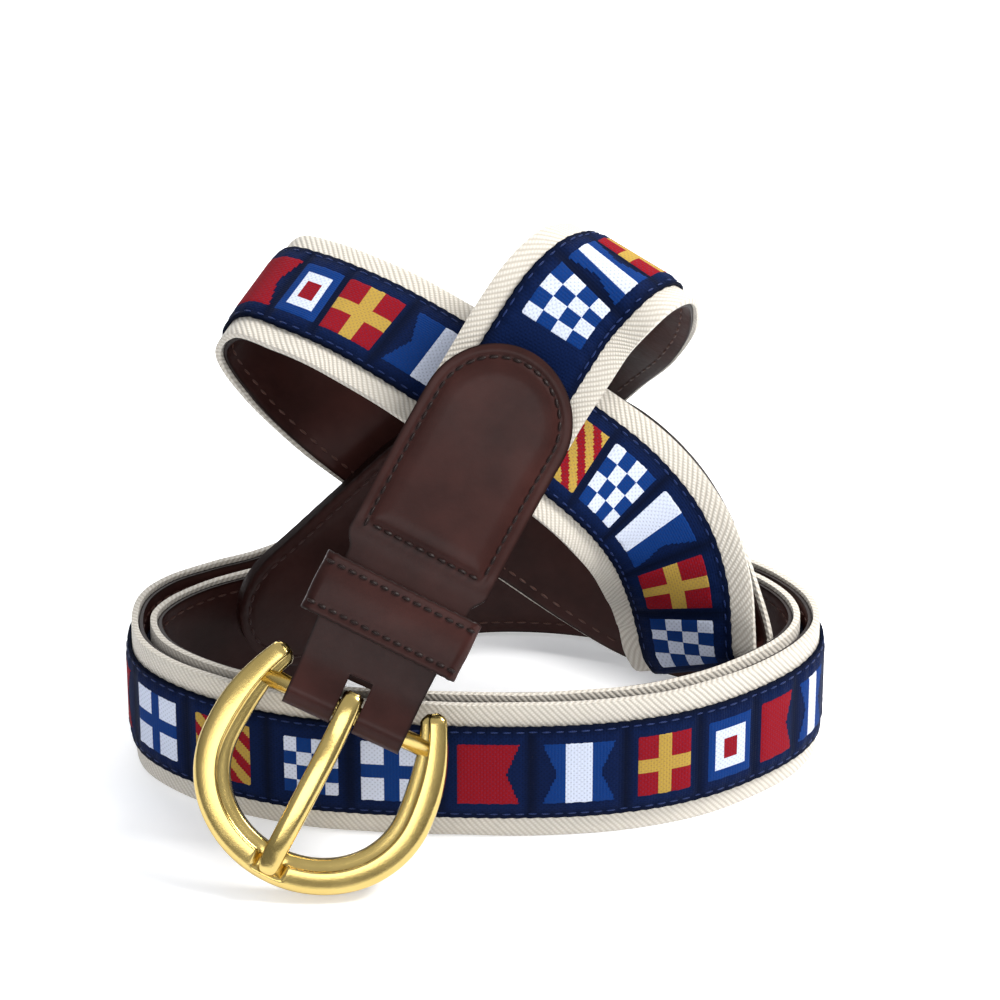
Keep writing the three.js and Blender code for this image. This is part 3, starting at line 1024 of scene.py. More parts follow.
# The flags that the photograph shows: middle along the strap, length, pattern
SHOWN: tuple[Flag, ...] = (
    Flag(94.5, 12.0, Motif.CHECKS),
    Flag(106.0, 8.6, Motif.BANNER),
    Flag(115.0, 8.0, Motif.SALTIRE),
    Flag(330.5, 12.0, Motif.CROSS),
    Flag(348.0, 13.0, Motif.STRIPES),
    Flag(367.5, 11.5, Motif.CHECKS, half=6.8),
    Flag(384.3, 13.0, Motif.CROSS),
    Flag(404.3, 13.0, Motif.SWALLOW),
    Flag(423.0, 15.0, Motif.BANNER),
    Flag(441.0, 11.6, Motif.SALTIRE),
    Flag(456.0, 10.6, Motif.NESTED),
    Flag(468.6, 9.0, Motif.SWALLOW),
    Flag(480.5, 9.6, Motif.BANNER),
    Flag(1009.5, 8.4, Motif.SWALLOW),
    Flag(1019.3, 9.0, Motif.NESTED),
    Flag(1031.5, 13.0, Motif.SALTIRE),
    Flag(1047.5, 13.0, Motif.HALVES, True),
    Flag(1084.0, 10.2, Motif.STRIPES),
    Flag(1096.3, 11.0, Motif.CHECKS),
    Flag(1110.5, 12.0, Motif.HALVES),
    Flag(1124.5, 11.0, Motif.SALTIRE),
    Flag(1138.0, 11.0, Motif.CHECKS),
)
HIDDEN_LENGTH = 12.6
HIDDEN_ORDER: tuple[Motif, ...] = (
    Motif.NESTED,
    Motif.SWALLOW,
    Motif.BANNER,
    Motif.CROSS,
    Motif.STRIPES,
    Motif.CHECKS,
    Motif.CROSS,
    Motif.SWALLOW,
    Motif.BANNER,
    Motif.SALTIRE,
)


@dataclass
class Maker:
    """What makes a group of pieces along the strap."""

    route: Route
    effects: Effects


@dataclass
class Strap(Maker):
    """The strap's layers: canvas webbing, flag ribbon and leather lining."""

    canvas_half: float = 16.0
    neck_half: float = 13.0
    canvas_start: float = 13.0
    canvas_out: float = 0.75
    ribbon_half: float = 11.1
    ribbon_start: float = 39.5
    ribbon_low: float = 0.95
    ribbon_top: float = 1.55
    lining_half: float = 15.2
    lining_start: float = 45.5
    lining_low: float = 1.95
    lining_top: float = 0.95
    tab_end: float = 83.0
    tip_length: float = 117.0
    seam_in: float = 1.15
    lining_seam_in: float = 2.6
    stitch_pitch: float = 2.7
    lining_pitch: float = 3.0
    flag_pitch: float = 17.0
    cell: float = 0.4
    no_crease: float = 6.0
    puff: float = 0.46
    pleat: float = 0.17
    seam_depth: float = 0.2
    dimple: float = 0.07
    edge_bead: float = 0.1
    flags: list[Flag] = field(init=False)

    def __post_init__(self) -> None:
        """Set out the shown flags and those that fill the stretches between them."""
        flags, order = list(SHOWN), cycle(HIDDEN_ORDER)
        ends = [self.tab_end + 2.0, *(flag.s for flag in SHOWN), self.tip_start]
        for before, after in zip(ends, ends[1:]):
            count = round((after - before) / self.flag_pitch) - 1
            if after - before >= 1.6 * self.flag_pitch:
                for k in range(count):
                    s = before + (after - before) * (k + 1) / (count + 1)
                    flags.append(Flag(s, HIDDEN_LENGTH, next(order)))
        self.flags = sorted(flags, key=lambda flag: flag.s)

    @property
    def tip_start(self) -> float:
        """Return the length at which the leather tip begins."""
        return self.route.length - self.tip_length

    def crease(self, s: float) -> float:
        """Return how far a length lies from the nearest crease between two flags.

        Args:
            s: The length.

        Returns:
            The distance.
        """
        i = bisect_right(self.flags, s, key=lambda flag: flag.s)
        before, after = self.flags[max(i - 1, 0)], self.flags[min(i, len(self.flags) - 1)]
        if before is after:
            return self.no_crease
        return abs(s - (after.s - after.length / 2 + before.s + before.length / 2) / 2)

    def height(self, s: float, v: float) -> float:
        """Return the ribbon's outer height: puffed under each flag and drawn in at its seams.

        Args:
            s: The length.
            v: The place across.

        Returns:
            The height over the strap's middle.
        """
        inner = self.ribbon_half - abs(v)
        body = clamp(inner / 3.2)
        swell = self.puff * clamp(self.crease(s) / 3.0) ** 0.7 * math.sqrt(body) + 0.05 * body
        pleat = self.pleat * math.sin(s * 1.9 + 0.7 * math.sin(s * 0.31)) * ridge(inner - 2.6, 1.3)
        seam = -self.seam_depth * ridge(inner - self.seam_in, 0.55)
        beat = math.cos(2 * math.pi * s / self.stitch_pitch)
        dimple = self.dimple * beat * ridge(inner - self.seam_in, 0.8)
        edge = self.edge_bead * ridge(inner, 0.5)
        calm = ease(s, self.tab_end - 1.0, self.tab_end + 4.0, 0.0, 1.0)
        return self.ribbon_top + (swell + pleat + seam + dimple + edge) * calm

    def strip(
        self, name: str, lengths: list[float], lanes: int, half: Profile, low: Height, high: Height,
        rounding: float, fold: Profile | None = None,
    ) -> bpy.types.Object:
        """Make one layer of the strap.

        Args:
            name: The object's name.
            lengths: The lengths of its rows.
            lanes: How many lanes it has.
            half: Its half width at a length.
            low: Its inner height at a length and place across.
            high: Its outer height there.
            rounding: The radius of its edges.
            fold: How far a length lies from a crease, which counts as a rim.

        Returns:
            The new object.
        """
        creases = [fold(s) if fold else self.canvas_half for s in lengths]
        frames = [self.route.frame(s) for s in lengths]

        def across(i: int, j: int) -> float:
            """Return the place across of a lane."""
            return half(lengths[i]) * (2.0 * j / lanes - 1.0)

        def point(i: int, j: int, side: int) -> Vector:
            """Return a corner's place."""
            v = across(i, j)
            return frames[i].at(0.0, v, high(lengths[i], v) if side else low(lengths[i], v))

        return Slab(
            name, len(lengths) - 1, lanes, point, uv=lambda i, j: (lengths[i], across(i, j)),
            rim=lambda i, j: min(half(lengths[i]) - abs(across(i, j)), creases[i]), rounding=rounding,
        ).build()

    def build_webbing(self) -> bpy.types.Object:
        """Make the canvas webbing: narrow in the tab, then full with a live edge and a soft roll.

        Returns:
            The object.
        """

        def half(s: float) -> float:
            """Return the canvas's half width."""
            full = ease(s, NECK_FROM, NECK_TO, self.neck_half, self.canvas_half)
            return full - 0.12 - 0.1 * math.sin(s / 4.3) * math.sin(s / 17.0)

        def thick(s: float, v: float) -> float:
            """Return the canvas's half thickness."""
            return self.canvas_out - 0.08 * ridge(self.canvas_half - abs(v), 0.9)

        lengths = spread(self.canvas_start, self.tip_start + 0.4, 1.25)
        piece = self.strip("webbing_cloth", lengths, 20, half, lambda s, v: -thick(s, v), thick, 0.34)
        return CanvasFinish("canvas").dress(piece, self.effects)

    def build_lining(self) -> bpy.types.Object:
        """Make the leather lining, drawn in along its seam.

        Returns:
            The object.
        """

        def under(s: float, v: float) -> float:
            """Return the lining's inner height, which faces into the coil."""
            inner = self.lining_half - abs(v)
            return -self.lining_low + 0.2 * ridge(inner - self.lining_seam_in, 0.6) + 0.16 * ridge(inner, 0.7)

        piece = self.strip(
            "lining_leather", spread(self.lining_start, self.tip_start - GAP, 1.4), 26,
            lambda s: self.lining_half, under, lambda s, v: -self.lining_top, 0.2,
        )
        return LeatherFinish("lining leather", roughness=0.46, relief=0.3).dress(piece, self.effects)

    def build_ribbon(self) -> bpy.types.Object:
        """Make the ribbon, scalloped by its stitches and darkened with painted shade at its edges and creases through
        the rim mask.

        Returns:
            The object.
        """

        def half(s: float) -> float:
            """Return the ribbon's half width."""
            return self.ribbon_half - 0.12 + 0.12 * math.cos(2 * math.pi * s / self.stitch_pitch)

        piece = self.strip(
            "ribbon_cloth", spread(self.ribbon_start, self.tip_start - GAP, 0.9), 30, half,
            # the creases count as rim, so the painted shade gathers there
            lambda s, v: self.ribbon_low, self.height, 0.0, lambda s: 1.3 * self.crease(s),
        )
        return RibbonFinish("navy ribbon").dress(piece, self.effects)

    def build_flags(self) -> bpy.types.Object:
        """Weave the flags in cells, as one thin mesh that lies on the ribbon.

        Returns:
            The object.
        """
        whole = bmesh.new()
        store = whole.loops.layers.float_color.new("weave")
        sheet = whole.loops.layers.uv.new("UVMap")
        for flag in self.flags:
            rows, lanes = round(flag.length / self.cell), round(2 * flag.half / self.cell)
            frames = [self.route.frame(flag.s + flag.length * (i / rows - 0.5)) for i in range(rows + 1)]
            verts = bmesh.ops.create_grid(whole, x_segments=rows, y_segments=lanes, size=0.5)["verts"]
            spots = {vert: (vert.co.x + 0.5, vert.co.y + 0.5) for vert in verts}
            unused = []
            for face in {face for vert in verts for face in vert.link_faces}:
                u, v = (sum(spots[vert][k] for vert in face.verts) / 4 for k in (0, 1))
                yarn = flag.yarn(1.0 - u if flag.turned else u, v)
                if yarn is None:
                    unused.append(face)
                    continue
                for loop in face.loops:
                    a, b = spots[loop.vert]
                    loop[store] = yarn.value
                    s = flag.s + flag.length * (a - 0.5)
                    loop[sheet].uv = (s * MM, flag.half * (2 * b - 1) * MM)
            for vert, (a, b) in spots.items():
                frame, v = frames[round(a * rows)], flag.half * (2 * b - 1)
                border = a in (0.0, 1.0) or b in (0.0, 1.0)
                vert.co = frame.at(0.0, v, self.height(frame.s, v) + (-0.03 if border else 0.09))
            bmesh.ops.delete(whole, geom=unused, context="FACES")
        bmesh.ops.recalc_face_normals(whole, faces=whole.faces[:])
        return RibbonFinish("flag yarns", woven=True).dress(finished("ribbon_flags", whole), self.effects)

    def seam(self, start: float, end: float, pitch: float, v: float, height: Profile) -> list[Matrix]:
        """Return the places of two rows of stitches, one along each edge.

        Args:
            start: The length at the first stitch.
            end: The length at the last.
            pitch: The distance between two stitches.
            v: How far from the middle the rows run.
            height: The stitches' height at a length.

        Returns:
            A matrix for each stitch.
        """
        frames = map(self.route.frame, spread(start, end, pitch))
        return [frame.matrix(side * v, height(frame.s)) for frame in frames for side in (-1.0, 1.0)]

    def build(self) -> list[bpy.types.Object]:
        """Make all layers and their stitches.

        Returns:
            The objects.
        """
        edge, inner = self.ribbon_half - self.seam_in, self.lining_half - self.lining_seam_in
        navy = Thread("navy thread", NAVY_THREAD, 1.9, 0.42, 0.34).sew(
            "ribbon_stitches",
            self.seam(
                self.tab_end + 1.0, self.tip_start - 2.0, self.stitch_pitch, edge,
                lambda s: self.height(s, edge) + 0.04,
            ),
            self.effects,
        )
        brown = Thread("lining thread", BROWN_THREAD, 2.1, 0.55, 0.4).sew(
            "lining_stitches",
            self.seam(
                self.lining_start + 2.0, self.tip_start - 3.0, self.lining_pitch, inner,
                lambda s: -self.lining_low + 0.1,
            ),
            self.effects,
        )
        layers = [self.build_webbing(), self.build_lining(), self.build_ribbon(), self.build_flags()]
        return [*layers, navy, brown]


@dataclass
class BuckleTab(Maker):
    """The leather tab, folded round the bar, with its puffed front leaf and its seam."""

    leather: float = 1.3
    back_end: float = 45.0
    front_end: float = 83.0
    fold_half: float = 13.1
    full_half: float = 16.0
    near: float = 1.7
    over: float = 2.6
    wrap: float = 2.95
    step: float = 0.9
    slot_half: float = 2.6
    slot_to: float = 7.8
    back_slot_to: float = 5.9
    flare: float = 0.9
    step_from: float = 33.5
    step_to: float = 37.5
    puff: float = 0.62
    lip: float = 0.12
    seam_depth: float = 0.22
    side_lanes: int = 20
    slot_lanes: int = 6
    seam_from: float = 36.4
    seam_in: float = 2.7
    stitch_pitch: float = 2.45
    uv_between_leaves: float = 200.0

    @property
    def centre(self) -> float:
        """Return the length at the middle of the front leaf's round end."""
        return self.front_end - self.full_half

    def rise(self, s: float) -> float:
        """Return the front leaf's height, which steps up over the strap's end."""
        return ease(s, self.step_from, self.step_to, self.near, self.over)

    def path(self) -> list[tuple[float, float]]:
        """Return the leaf's middle as lengths and heights, from the back leaf round to the front.

        Returns:
            A length and a height for each row.
        """
        back = [(s, -self.near) for s in reversed(spread(6.0, self.back_end, self.step))]
        turn = [(-c * self.wrap, s * self.wrap) for c, s in map(circle, range(-110, 111, 5))]
        into = (self.centre + circle(a)[1] * self.full_half for a in range(3, 91, 3))
        front = [*spread(6.0, self.centre, self.step), *into]
        line = [*back, *turn, *((s, self.rise(s)) for s in front)]
        for _ in range(6):
            inner = zip(line, line[1:], line[2:])
            eased = [((a[0] + 2 * b[0] + c[0]) / 4, (a[1] + 2 * b[1] + c[1]) / 4) for a, b, c in inner]
            line = [line[0], *eased, line[-1]]
        return line

    def half(self, s: float, front: bool) -> float:
        """Return the tab's half width at a length.

        Args:
            s: The length.
            front: Whether it is on the front leaf.

        Returns:
            The half width.
        """
        wide = self.fold_half + ease(s, 0.0, NECK_FROM, 0.0, self.flare)
        full = ease(s, NECK_FROM, NECK_TO, wide, self.full_half)
        into = clamp((s - self.centre) / self.full_half)
        return min(full, self.full_half * math.sqrt(max(1e-4, 1.0 - into * into))) if front else full

    def swell(self, s: float, v: float, front: bool) -> float:
        """Return how far the front leaf stands proud: puffed inside its seam and drawn in at it.

        Args:
            s: The length.
            v: The place across.
            front: Whether it is on the front leaf.

        Returns:
            The added height.
        """
        if not front or s < NECK_FROM:
            return 0.0
        panel = min(inside(s, v, self.centre, self.full_half), s - (self.seam_from - self.seam_in))
        depth = panel - self.seam_in
        puff = self.puff * clamp(depth / 3.4) ** 0.6 if depth > 0 else 0.0
        lip = self.lip * ridge(depth + 1.4, 0.8)
        calm = ease(s, self.step_from - 0.5, self.step_to + 0.5, 0.0, 1.0)
        return (puff + lip - self.seam_depth * ridge(depth, 0.55)) * calm

    def build(self) -> list[bpy.types.Object]:
        """Make the leaf and its stitches.

        Returns:
            The objects.
        """
        line = self.path()
        frames = [self.route.frame(s) for s, _ in line]
        bar = min(range(len(line)), key=lambda i: line[i][0])
        outs = []
        for i in range(len(line)):
            a, b = line[max(i - 1, 0)], line[min(i + 1, len(line) - 1)]
            outs.append(-Vector((b[1] - a[1], a[0] - b[0])).normalized())
        last_slot_lane = self.side_lanes + self.slot_lanes

        def across(i: int, j: int) -> float:
            """Return the place across of a lane; the middle lanes are as wide as the slot.

            Args:
                i: The row.
                j: The lane.

            Returns:
                The place across.
            """
            half = self.half(line[i][0], i > bar)
            slot = min(self.slot_half, 0.3 * half)
            if j < self.side_lanes:
                return -half + (half - slot) * j / self.side_lanes
            if j > last_slot_lane:
                return slot + (half - slot) * (j - last_slot_lane) / self.side_lanes
            return slot * (2.0 * (j - self.side_lanes) / self.slot_lanes - 1.0)

        def point(i: int, j: int, side: int) -> Vector:
            """Return a corner's place.

            Args:
                i: The row.
                j: The lane.
                side: 1 on the outer face, 0 on the inner.

            Returns:
                The place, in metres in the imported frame.
            """
            s, h = line[i]
            v = across(i, j)
            reach = self.leather / 2 + self.swell(s, v, i > bar) if side else -self.leather / 2
            out = outs[i] * reach
            return frames[i].at(out.x, v, h + out.y)

        def keep(i: int, j: int) -> bool:
            """Leave the slot's faces out.

            Args:
                i: The row.
                j: The lane.

            Returns:
                Whether the face stays.
            """
            slot_to = self.slot_to if i > bar else self.back_slot_to
            in_slot = self.side_lanes <= j < last_slot_lane
            return not (in_slot and max(line[i][0], line[i + 1][0]) < slot_to + 0.3)

        leaf = Slab(
            "tab_leather", len(line) - 1, last_slot_lane + self.side_lanes, point,
            uv=lambda i, j: (line[i][0] + (self.uv_between_leaves if i > bar else 0.0), across(i, j)),
            rim=lambda i, j: self.half(line[i][0], i > bar) - abs(across(i, j)), rounding=0.22, keep=keep,
        ).build()
        LeatherFinish("tab leather", roughness=0.36, relief=0.16).dress(leaf, self.effects)
        thread = Thread("tab thread", DARK_THREAD, 2.0, 0.8, 0.85)
        return [leaf, thread.sew("tab_stitches", self.seam(), self.effects)]

    def seam(self) -> list[Matrix]:
        """Return the stitches' places round the front panel.

        Returns:
            A matrix for each stitch.
        """
        half = self.full_half - self.seam_in
        outline = horseshoe(self.seam_from, self.centre, half)
        outline += [(self.seam_from, v) for v in reversed(spread(-half, half, SEAM_STEP))]
        places = []
        for s, v, turn in paced(outline, self.stitch_pitch):
            height = self.rise(s) + self.leather / 2
            places.append(self.route.frame(s).matrix(v, height + self.swell(s, v, True) + 0.1) @ turn)
        return places


@dataclass
class Keeper(Maker):
    """The leather loop across the tab."""

    half: float = 17.5
    wall: float = 1.4
    start: float = 15.2
    end: float = 28.2
    front: float = 6.0
    back: float = -2.65
    corner: float = 2.2
    step: float = 0.9
    lanes: int = 16
    seam_in: float = 2.0
    stitch_pitch: float = 2.4
    seam_depth: float = 0.2
    lip: float = 0.1
    cushion: float = 0.22
    pinch: float = 0.1

    def outline(self) -> list[tuple[float, float, float, float]]:
        """Return the loop's outer line: v, h and the direction outward at each point.

        Returns:
            The points, where the last is the first again.
        """
        reach = self.half - self.corner
        top, low = self.front + self.wall - self.corner, self.back - self.wall + self.corner
        places: list[tuple[float, float, float, float]] = []
        corners = ((reach, low, -90), (reach, top, 0), (-reach, top, 90), (-reach, low, 180))
        for k, (x, y, first) in enumerate(corners):
            for c, s in map(circle, range(first, first + 91, 15)):
                places.append((x + self.corner * c, y + self.corner * s, c, s))
            ahead = corners[(k + 1) % 4]
            c, s = circle(first + 90)
            start = Vector((x + self.corner * c, y + self.corner * s))
            end = Vector((ahead[0] + self.corner * c, ahead[1] + self.corner * s))
            count = max(1, round((end - start).length / self.step))
            places.extend((*start.lerp(end, i / count), c, s) for i in range(1, count))
        return [*places, places[0]]

    def build(self) -> list[bpy.types.Object]:
        """Make the loop and its two rows of stitches.

        Returns:
            The objects.
        """
        loop = self.outline()
        frame = self.route.frame((self.start + self.end) / 2)
        wide = self.end - self.start

        def along(j: int) -> float:
            """Return a lane's place along the strap from the loop's middle."""
            return wide * (j / self.lanes - 0.5)

        def point(i: int, j: int, side: int) -> Vector:
            """Return a corner's place: rounded at the rims and drawn in at the seams.

            Args:
                i: The row.
                j: The lane.
                side: 1 on the outer face, 0 on the inner.

            Returns:
                The place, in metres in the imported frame.
            """
            v, h, c, s = loop[i]
            inner = wide / 2 - abs(along(j))
            front = clamp((h - self.front + 1.0) / 1.0)
            drawn = -self.seam_depth * ridge(inner - self.seam_in, 0.5) + self.lip * ridge(inner - 0.8, 0.6)
            drawn += self.cushion * clamp((inner - 2.4) / 3.0)
            pinch = self.pinch * math.sin(v * 2.6) * ridge(inner, 0.9) * front
            reach = drawn * front if side else -self.wall
            return frame.at(along(j) + pinch * (1.0 if along(j) > 0 else -1.0), v + c * reach, h + s * reach)

        band = Slab(
            "keeper_leather", len(loop) - 1, self.lanes, point, uv=lambda i, j: (i * self.step, along(j)),
            rim=lambda i, j: wide / 2 - abs(along(j)), rounding=0.3,
        ).build()
        LeatherFinish("keeper leather", roughness=0.4, relief=0.2).dress(band, self.effects)
        turn = frame.matrix(0.0, 0.0).to_3x3().to_4x4() @ Matrix.Rotation(math.pi / 2, 4, "Z")
        places = [
            Matrix.Translation(frame.at(side * (wide / 2 - self.seam_in), v, self.front + self.wall - 0.08)) @ turn
            for v in spread(-self.half + 1.6, self.half - 1.6, self.stitch_pitch)
            for side in (-1.0, 1.0)
        ]
        thread = Thread("keeper thread", DARK_THREAD, 1.95, 0.78, 0.85)
        return [band, thread.sew("keeper_stitches", places, self.effects)]


@dataclass
class Tip(Maker):
    """The leather tip with its round end, seam and punched holes."""

    length: float = 117.0
    half: float = 15.6
    thick: float = 1.6
    round_part: float = 15.0
    lanes: int = 38
    hole_first: float = 36.0
    hole_pitch: float = 18.0
    hole_count: int = 5
    hole_radius: float = 2.0
    hole_pull: float = 0.55
    seam_in: float = 2.6
    stitch_pitch: float = 2.8
    seam_depth: float = 0.24
    edge_drop: float = 0.3
    ripple: float = 0.1

    def build(self) -> list[bpy.types.Object]:
        """Make the tip and its stitches.

        Returns:
            The objects.
        """
        end = self.route.length
        start, centre = end - self.length, end - self.round_part
        into = (centre + circle(a)[1] * self.round_part for a in range(4, 89, 4))
        lengths = [*spread(start, centre, 0.8), *into]
        frames = [self.route.frame(s) for s in lengths]
        holes = [end - self.hole_first - i * self.hole_pitch for i in range(self.hole_count)]

        def across(i: int, j: int) -> float:
            """Return a lane's place across."""
            k = clamp((lengths[i] - centre) / self.round_part)
            return self.half * math.sqrt(max(0.0004, 1.0 - k * k)) * (2.0 * j / self.lanes - 1.0)

        def point(i: int, j: int, side: int) -> Vector:
            """Return a corner's place, moved onto the rim of a hole that is near.

            Args:
                i: The row.
                j: The lane.
                side: 1 on the outer face, 0 on the inner.

            Returns:
                The place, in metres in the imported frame.
            """
            s, v = lengths[i], across(i, j)
            for hole in holes:
                away = math.hypot(s - hole, v)
                if WELD < away < self.hole_radius + self.hole_pull:
                    s, v = hole + (s - hole) * self.hole_radius / away, v * self.hole_radius / away
            depth = inside(s, v, centre, self.half)
            drawn = self.seam_depth * ridge(depth - self.seam_in, 0.6)
            height = self.thick - drawn - self.edge_drop * ridge(depth, 0.6)
            height += self.ripple * math.sin(s * 1.7) * ridge(depth - 1.2, 1.0) - 0.1
            return frames[i].at(s - lengths[i], v, height if side else -height)

        def keep(i: int, j: int) -> bool:
            """Leave out the faces inside a hole.

            Args:
                i: The row.
                j: The lane.

            Returns:
                Whether the face stays.
            """
            s = (lengths[i] + lengths[min(i + 1, len(lengths) - 1)]) / 2
            v = (across(i, j) + across(i, min(j + 1, self.lanes))) / 2
            return all(math.hypot(s - hole, v) > self.hole_radius for hole in holes)

        leather = Slab(
            "tip_leather", len(lengths) - 1, self.lanes, point, uv=lambda i, j: (lengths[i], across(i, j)),
            rim=lambda i, j: max(0.0, inside(lengths[i], across(i, j), centre, self.half)),
            rounding=0.3, keep=keep,
        ).build()
        LeatherFinish("tip leather", roughness=0.42, size=0.8, relief=0.4).dress(leather, self.effects)
        outline = horseshoe(start + 2.0, centre, self.half - self.seam_in)
        places = [
            self.route.frame(s).matrix(v, side * (self.thick - 0.28)) @ turn
            for s, v, turn in paced(outline, self.stitch_pitch)
            for side in (-1.0, 1.0)
        ]
        thread = Thread("tip thread", TIP_THREAD, 2.0, 0.6, 0.5)
        return [leather, thread.sew("tip_stitches", places, self.effects)]


@dataclass
class Buckle(Maker):
    """The brass horseshoe frame with its bar, and the prong."""

    half: float = 21.75
    centre: float = -15.0
    lower: float = 19.75
    upper: float = 33.0
    reach: float = 132.0
    taper_from: float = 98.0
    end_size: float = 0.72
    wide: float = 7.5
    thick: float = 5.0
    bar_radius: float = 2.0
    bar_half: float = 19.3
    seat_x: float = -1.3
    seat_half: float = 2.9
    seat_top: float = 1.5
    seat_from: float = -28.0
    seat_end: float = -36.4
    eye_half: float = 2.2
    eye_radius: float = 4.0
    soft: float = 0.72
    section: tuple[Row, ...] = (
        (0.5, -0.3),
        (0.5, 0.2),
        (0.38, 0.42),
        (0.1, 0.5),
        (-0.12, 0.5),
        (-0.16, 0.34),
        (-0.44, 0.24),
        (-0.5, 0.05),
        (-0.5, -0.34),
        (-0.4, -0.5),
        (0.36, -0.5),
    )
    shank: tuple[Row, ...] = (
        (0.0, 4.5, 2.9, 2.7, 1.5),
        (0.0, 3.0, 3.6, 3.6, 1.9),
        (0.0, 0.0, 3.9, 4.35, 2.3),
        (0.0, -5.0, 3.8, 4.6, 2.8),
        (-0.2, -12.0, 4.3, 4.8, 3.1),
        (-0.7, -22.0, 4.4, 4.8, 3.1),
        (-1.1, -29.0, 3.95, 4.7, 3.0),
        (-1.3, -33.0, 3.4, 4.5, 2.7),
        (-1.3, -35.6, 3.1, 3.9, 2.2),
        (-1.3, -36.9, 2.9, 2.4, 1.4),
    )

    def line(self, degrees: float) -> Vector:
        """Return the frame's centre line in its own plane."""
        c, s = circle(degrees)
        return Vector((self.half * s, self.centre - (self.lower if c > 0 else self.upper) * c))

    def ring(self, count: int) -> list[Vector]:
        """Return the frame's section as a closed smooth line of points.

        Args:
            count: How many steps it has.

        Returns:
            The points, where the last is the first again.
        """
        rows, points = self.section, []
        for k in range(count + 1):
            at = (k % count) / count * len(rows)
            p0, p1, p2, p3 = (Vector(rows[(int(at) + d) % len(rows)]) for d in (-1, 0, 1, 2))
            points.append(hermite(p1, p2, (p2 - p0) * 0.36, (p3 - p1) * 0.36, at - int(at)))
        return points

    def build_frame(self, place: Matrix) -> bpy.types.Object:
        """Make the frame and its bar as one object.

        Args:
            place: The buckle's own frame.

        Returns:
            The object.
        """
        rows, lanes = 176, 44
        ring = self.ring(lanes)

        def point(i: int, j: int) -> Vector:
            """Return a point on the frame's surface, which tapers to its ends and has a seat for the prong.

            Args:
                i: The row.
                j: The lane.

            Returns:
                The place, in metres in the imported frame.
            """
            degrees = self.reach * (2.0 * i / rows - 1.0)
            middle = self.line(degrees)
            ahead = (self.line(degrees + 0.5) - self.line(degrees - 0.5)).normalized()
            taper = ease(abs(degrees), self.taper_from, self.reach, 1.0, self.end_size)
            taper *= math.sqrt(clamp((self.reach + 0.6 - abs(degrees)) / 3.2))
            out = ring[j].x * self.wide * taper
            x, y = middle.x + ahead.y * out, middle.y - ahead.x * out
            height = ring[j].y * self.thick * taper
            if y < self.seat_from and height > self.seat_top:
                aside = max(abs(x - self.seat_x) - self.seat_half, self.seat_end - y)
                height = ease(aside, -0.3, 0.9, self.seat_top, height)
            return place @ Vector((x, y, height))

        frame = finished("buckle_brass", closed(rows, lanes, point))
        bm = bmesh.new()
        bm.from_mesh(frame.data)
        made = bmesh.ops.create_cone(
            bm, cap_ends=True, segments=32, radius1=self.bar_radius, radius2=self.bar_radius,
            depth=2 * self.bar_half, matrix=place @ Matrix.Rotation(math.pi / 2, 4, "Y"),
        )
        for face in {f for v in made["verts"] for f in v.link_faces}:
            face.smooth = len(face.verts) == 4
        bm.to_mesh(frame.data)
        bm.free()
        return BrassFinish("buckle brass").dress(frame, self.effects)

    def build_prong(self, place: Matrix) -> bpy.types.Object:
        """Make the prong: its eye round the bar and its tapered shank.

        Args:
            place: The buckle's own frame.

        Returns:
            The object.
        """
        rows, lanes, turns = 72, 28, 40
        stations = [Vector(row[:3]) for row in self.shank]
        sizes = [Vector(row[3:]) for row in self.shank]
        hole = self.bar_radius + GAP
        section = [
            (self.eye_half - 0.3, self.eye_radius), (self.eye_half, self.eye_radius - 0.3),
            (self.eye_half, hole + 0.15), (self.eye_half - 0.15, hole),
        ]
        section += [(-x, r) for x, r in reversed(section)]
        section.append(section[0])

        def shank(i: int, j: int) -> Vector:
            """Return a point on the shank, flat-sided with soft edges and a round tip.

            Args:
                i: The row.
                j: The lane.

            Returns:
                The place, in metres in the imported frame.
            """
            t = i / rows
            size = spline(sizes, t)
            a = 2 * math.pi * (j % lanes) / lanes
            x, z = (math.copysign(abs(k) ** self.soft, k) for k in (math.cos(a), math.sin(a)))
            end = math.sqrt(clamp((1.004 - t) / 0.03))
            return place @ (spline(stations, t) + Vector((x * size.x / 2 * end, 0.0, z * size.y / 2 * end)))

        def eye(i: int, j: int) -> Vector:
            """Return a point on the eye's ring.

            Args:
                i: The row.
                j: The lane.

            Returns:
                The place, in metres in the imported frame.
            """
            x, radius = section[j]
            a = 2 * math.pi * i / turns
            return place @ Vector((x, radius * math.cos(a), radius * math.sin(a)))

        prong = finished("prong_brass", closed(rows, lanes, shank))
        bm = closed(turns, len(section) - 1, eye)
        bm.from_mesh(prong.data)
        bm.to_mesh(prong.data)
        bm.free()
        return BrassFinish("prong brass", roughness=0.18).dress(prong, self.effects)

    def build(self) -> list[bpy.types.Object]:
        """Make the frame and the prong."""
        place = self.route.buckle_matrix()
        return [self.build_frame(place), self.build_prong(place)]


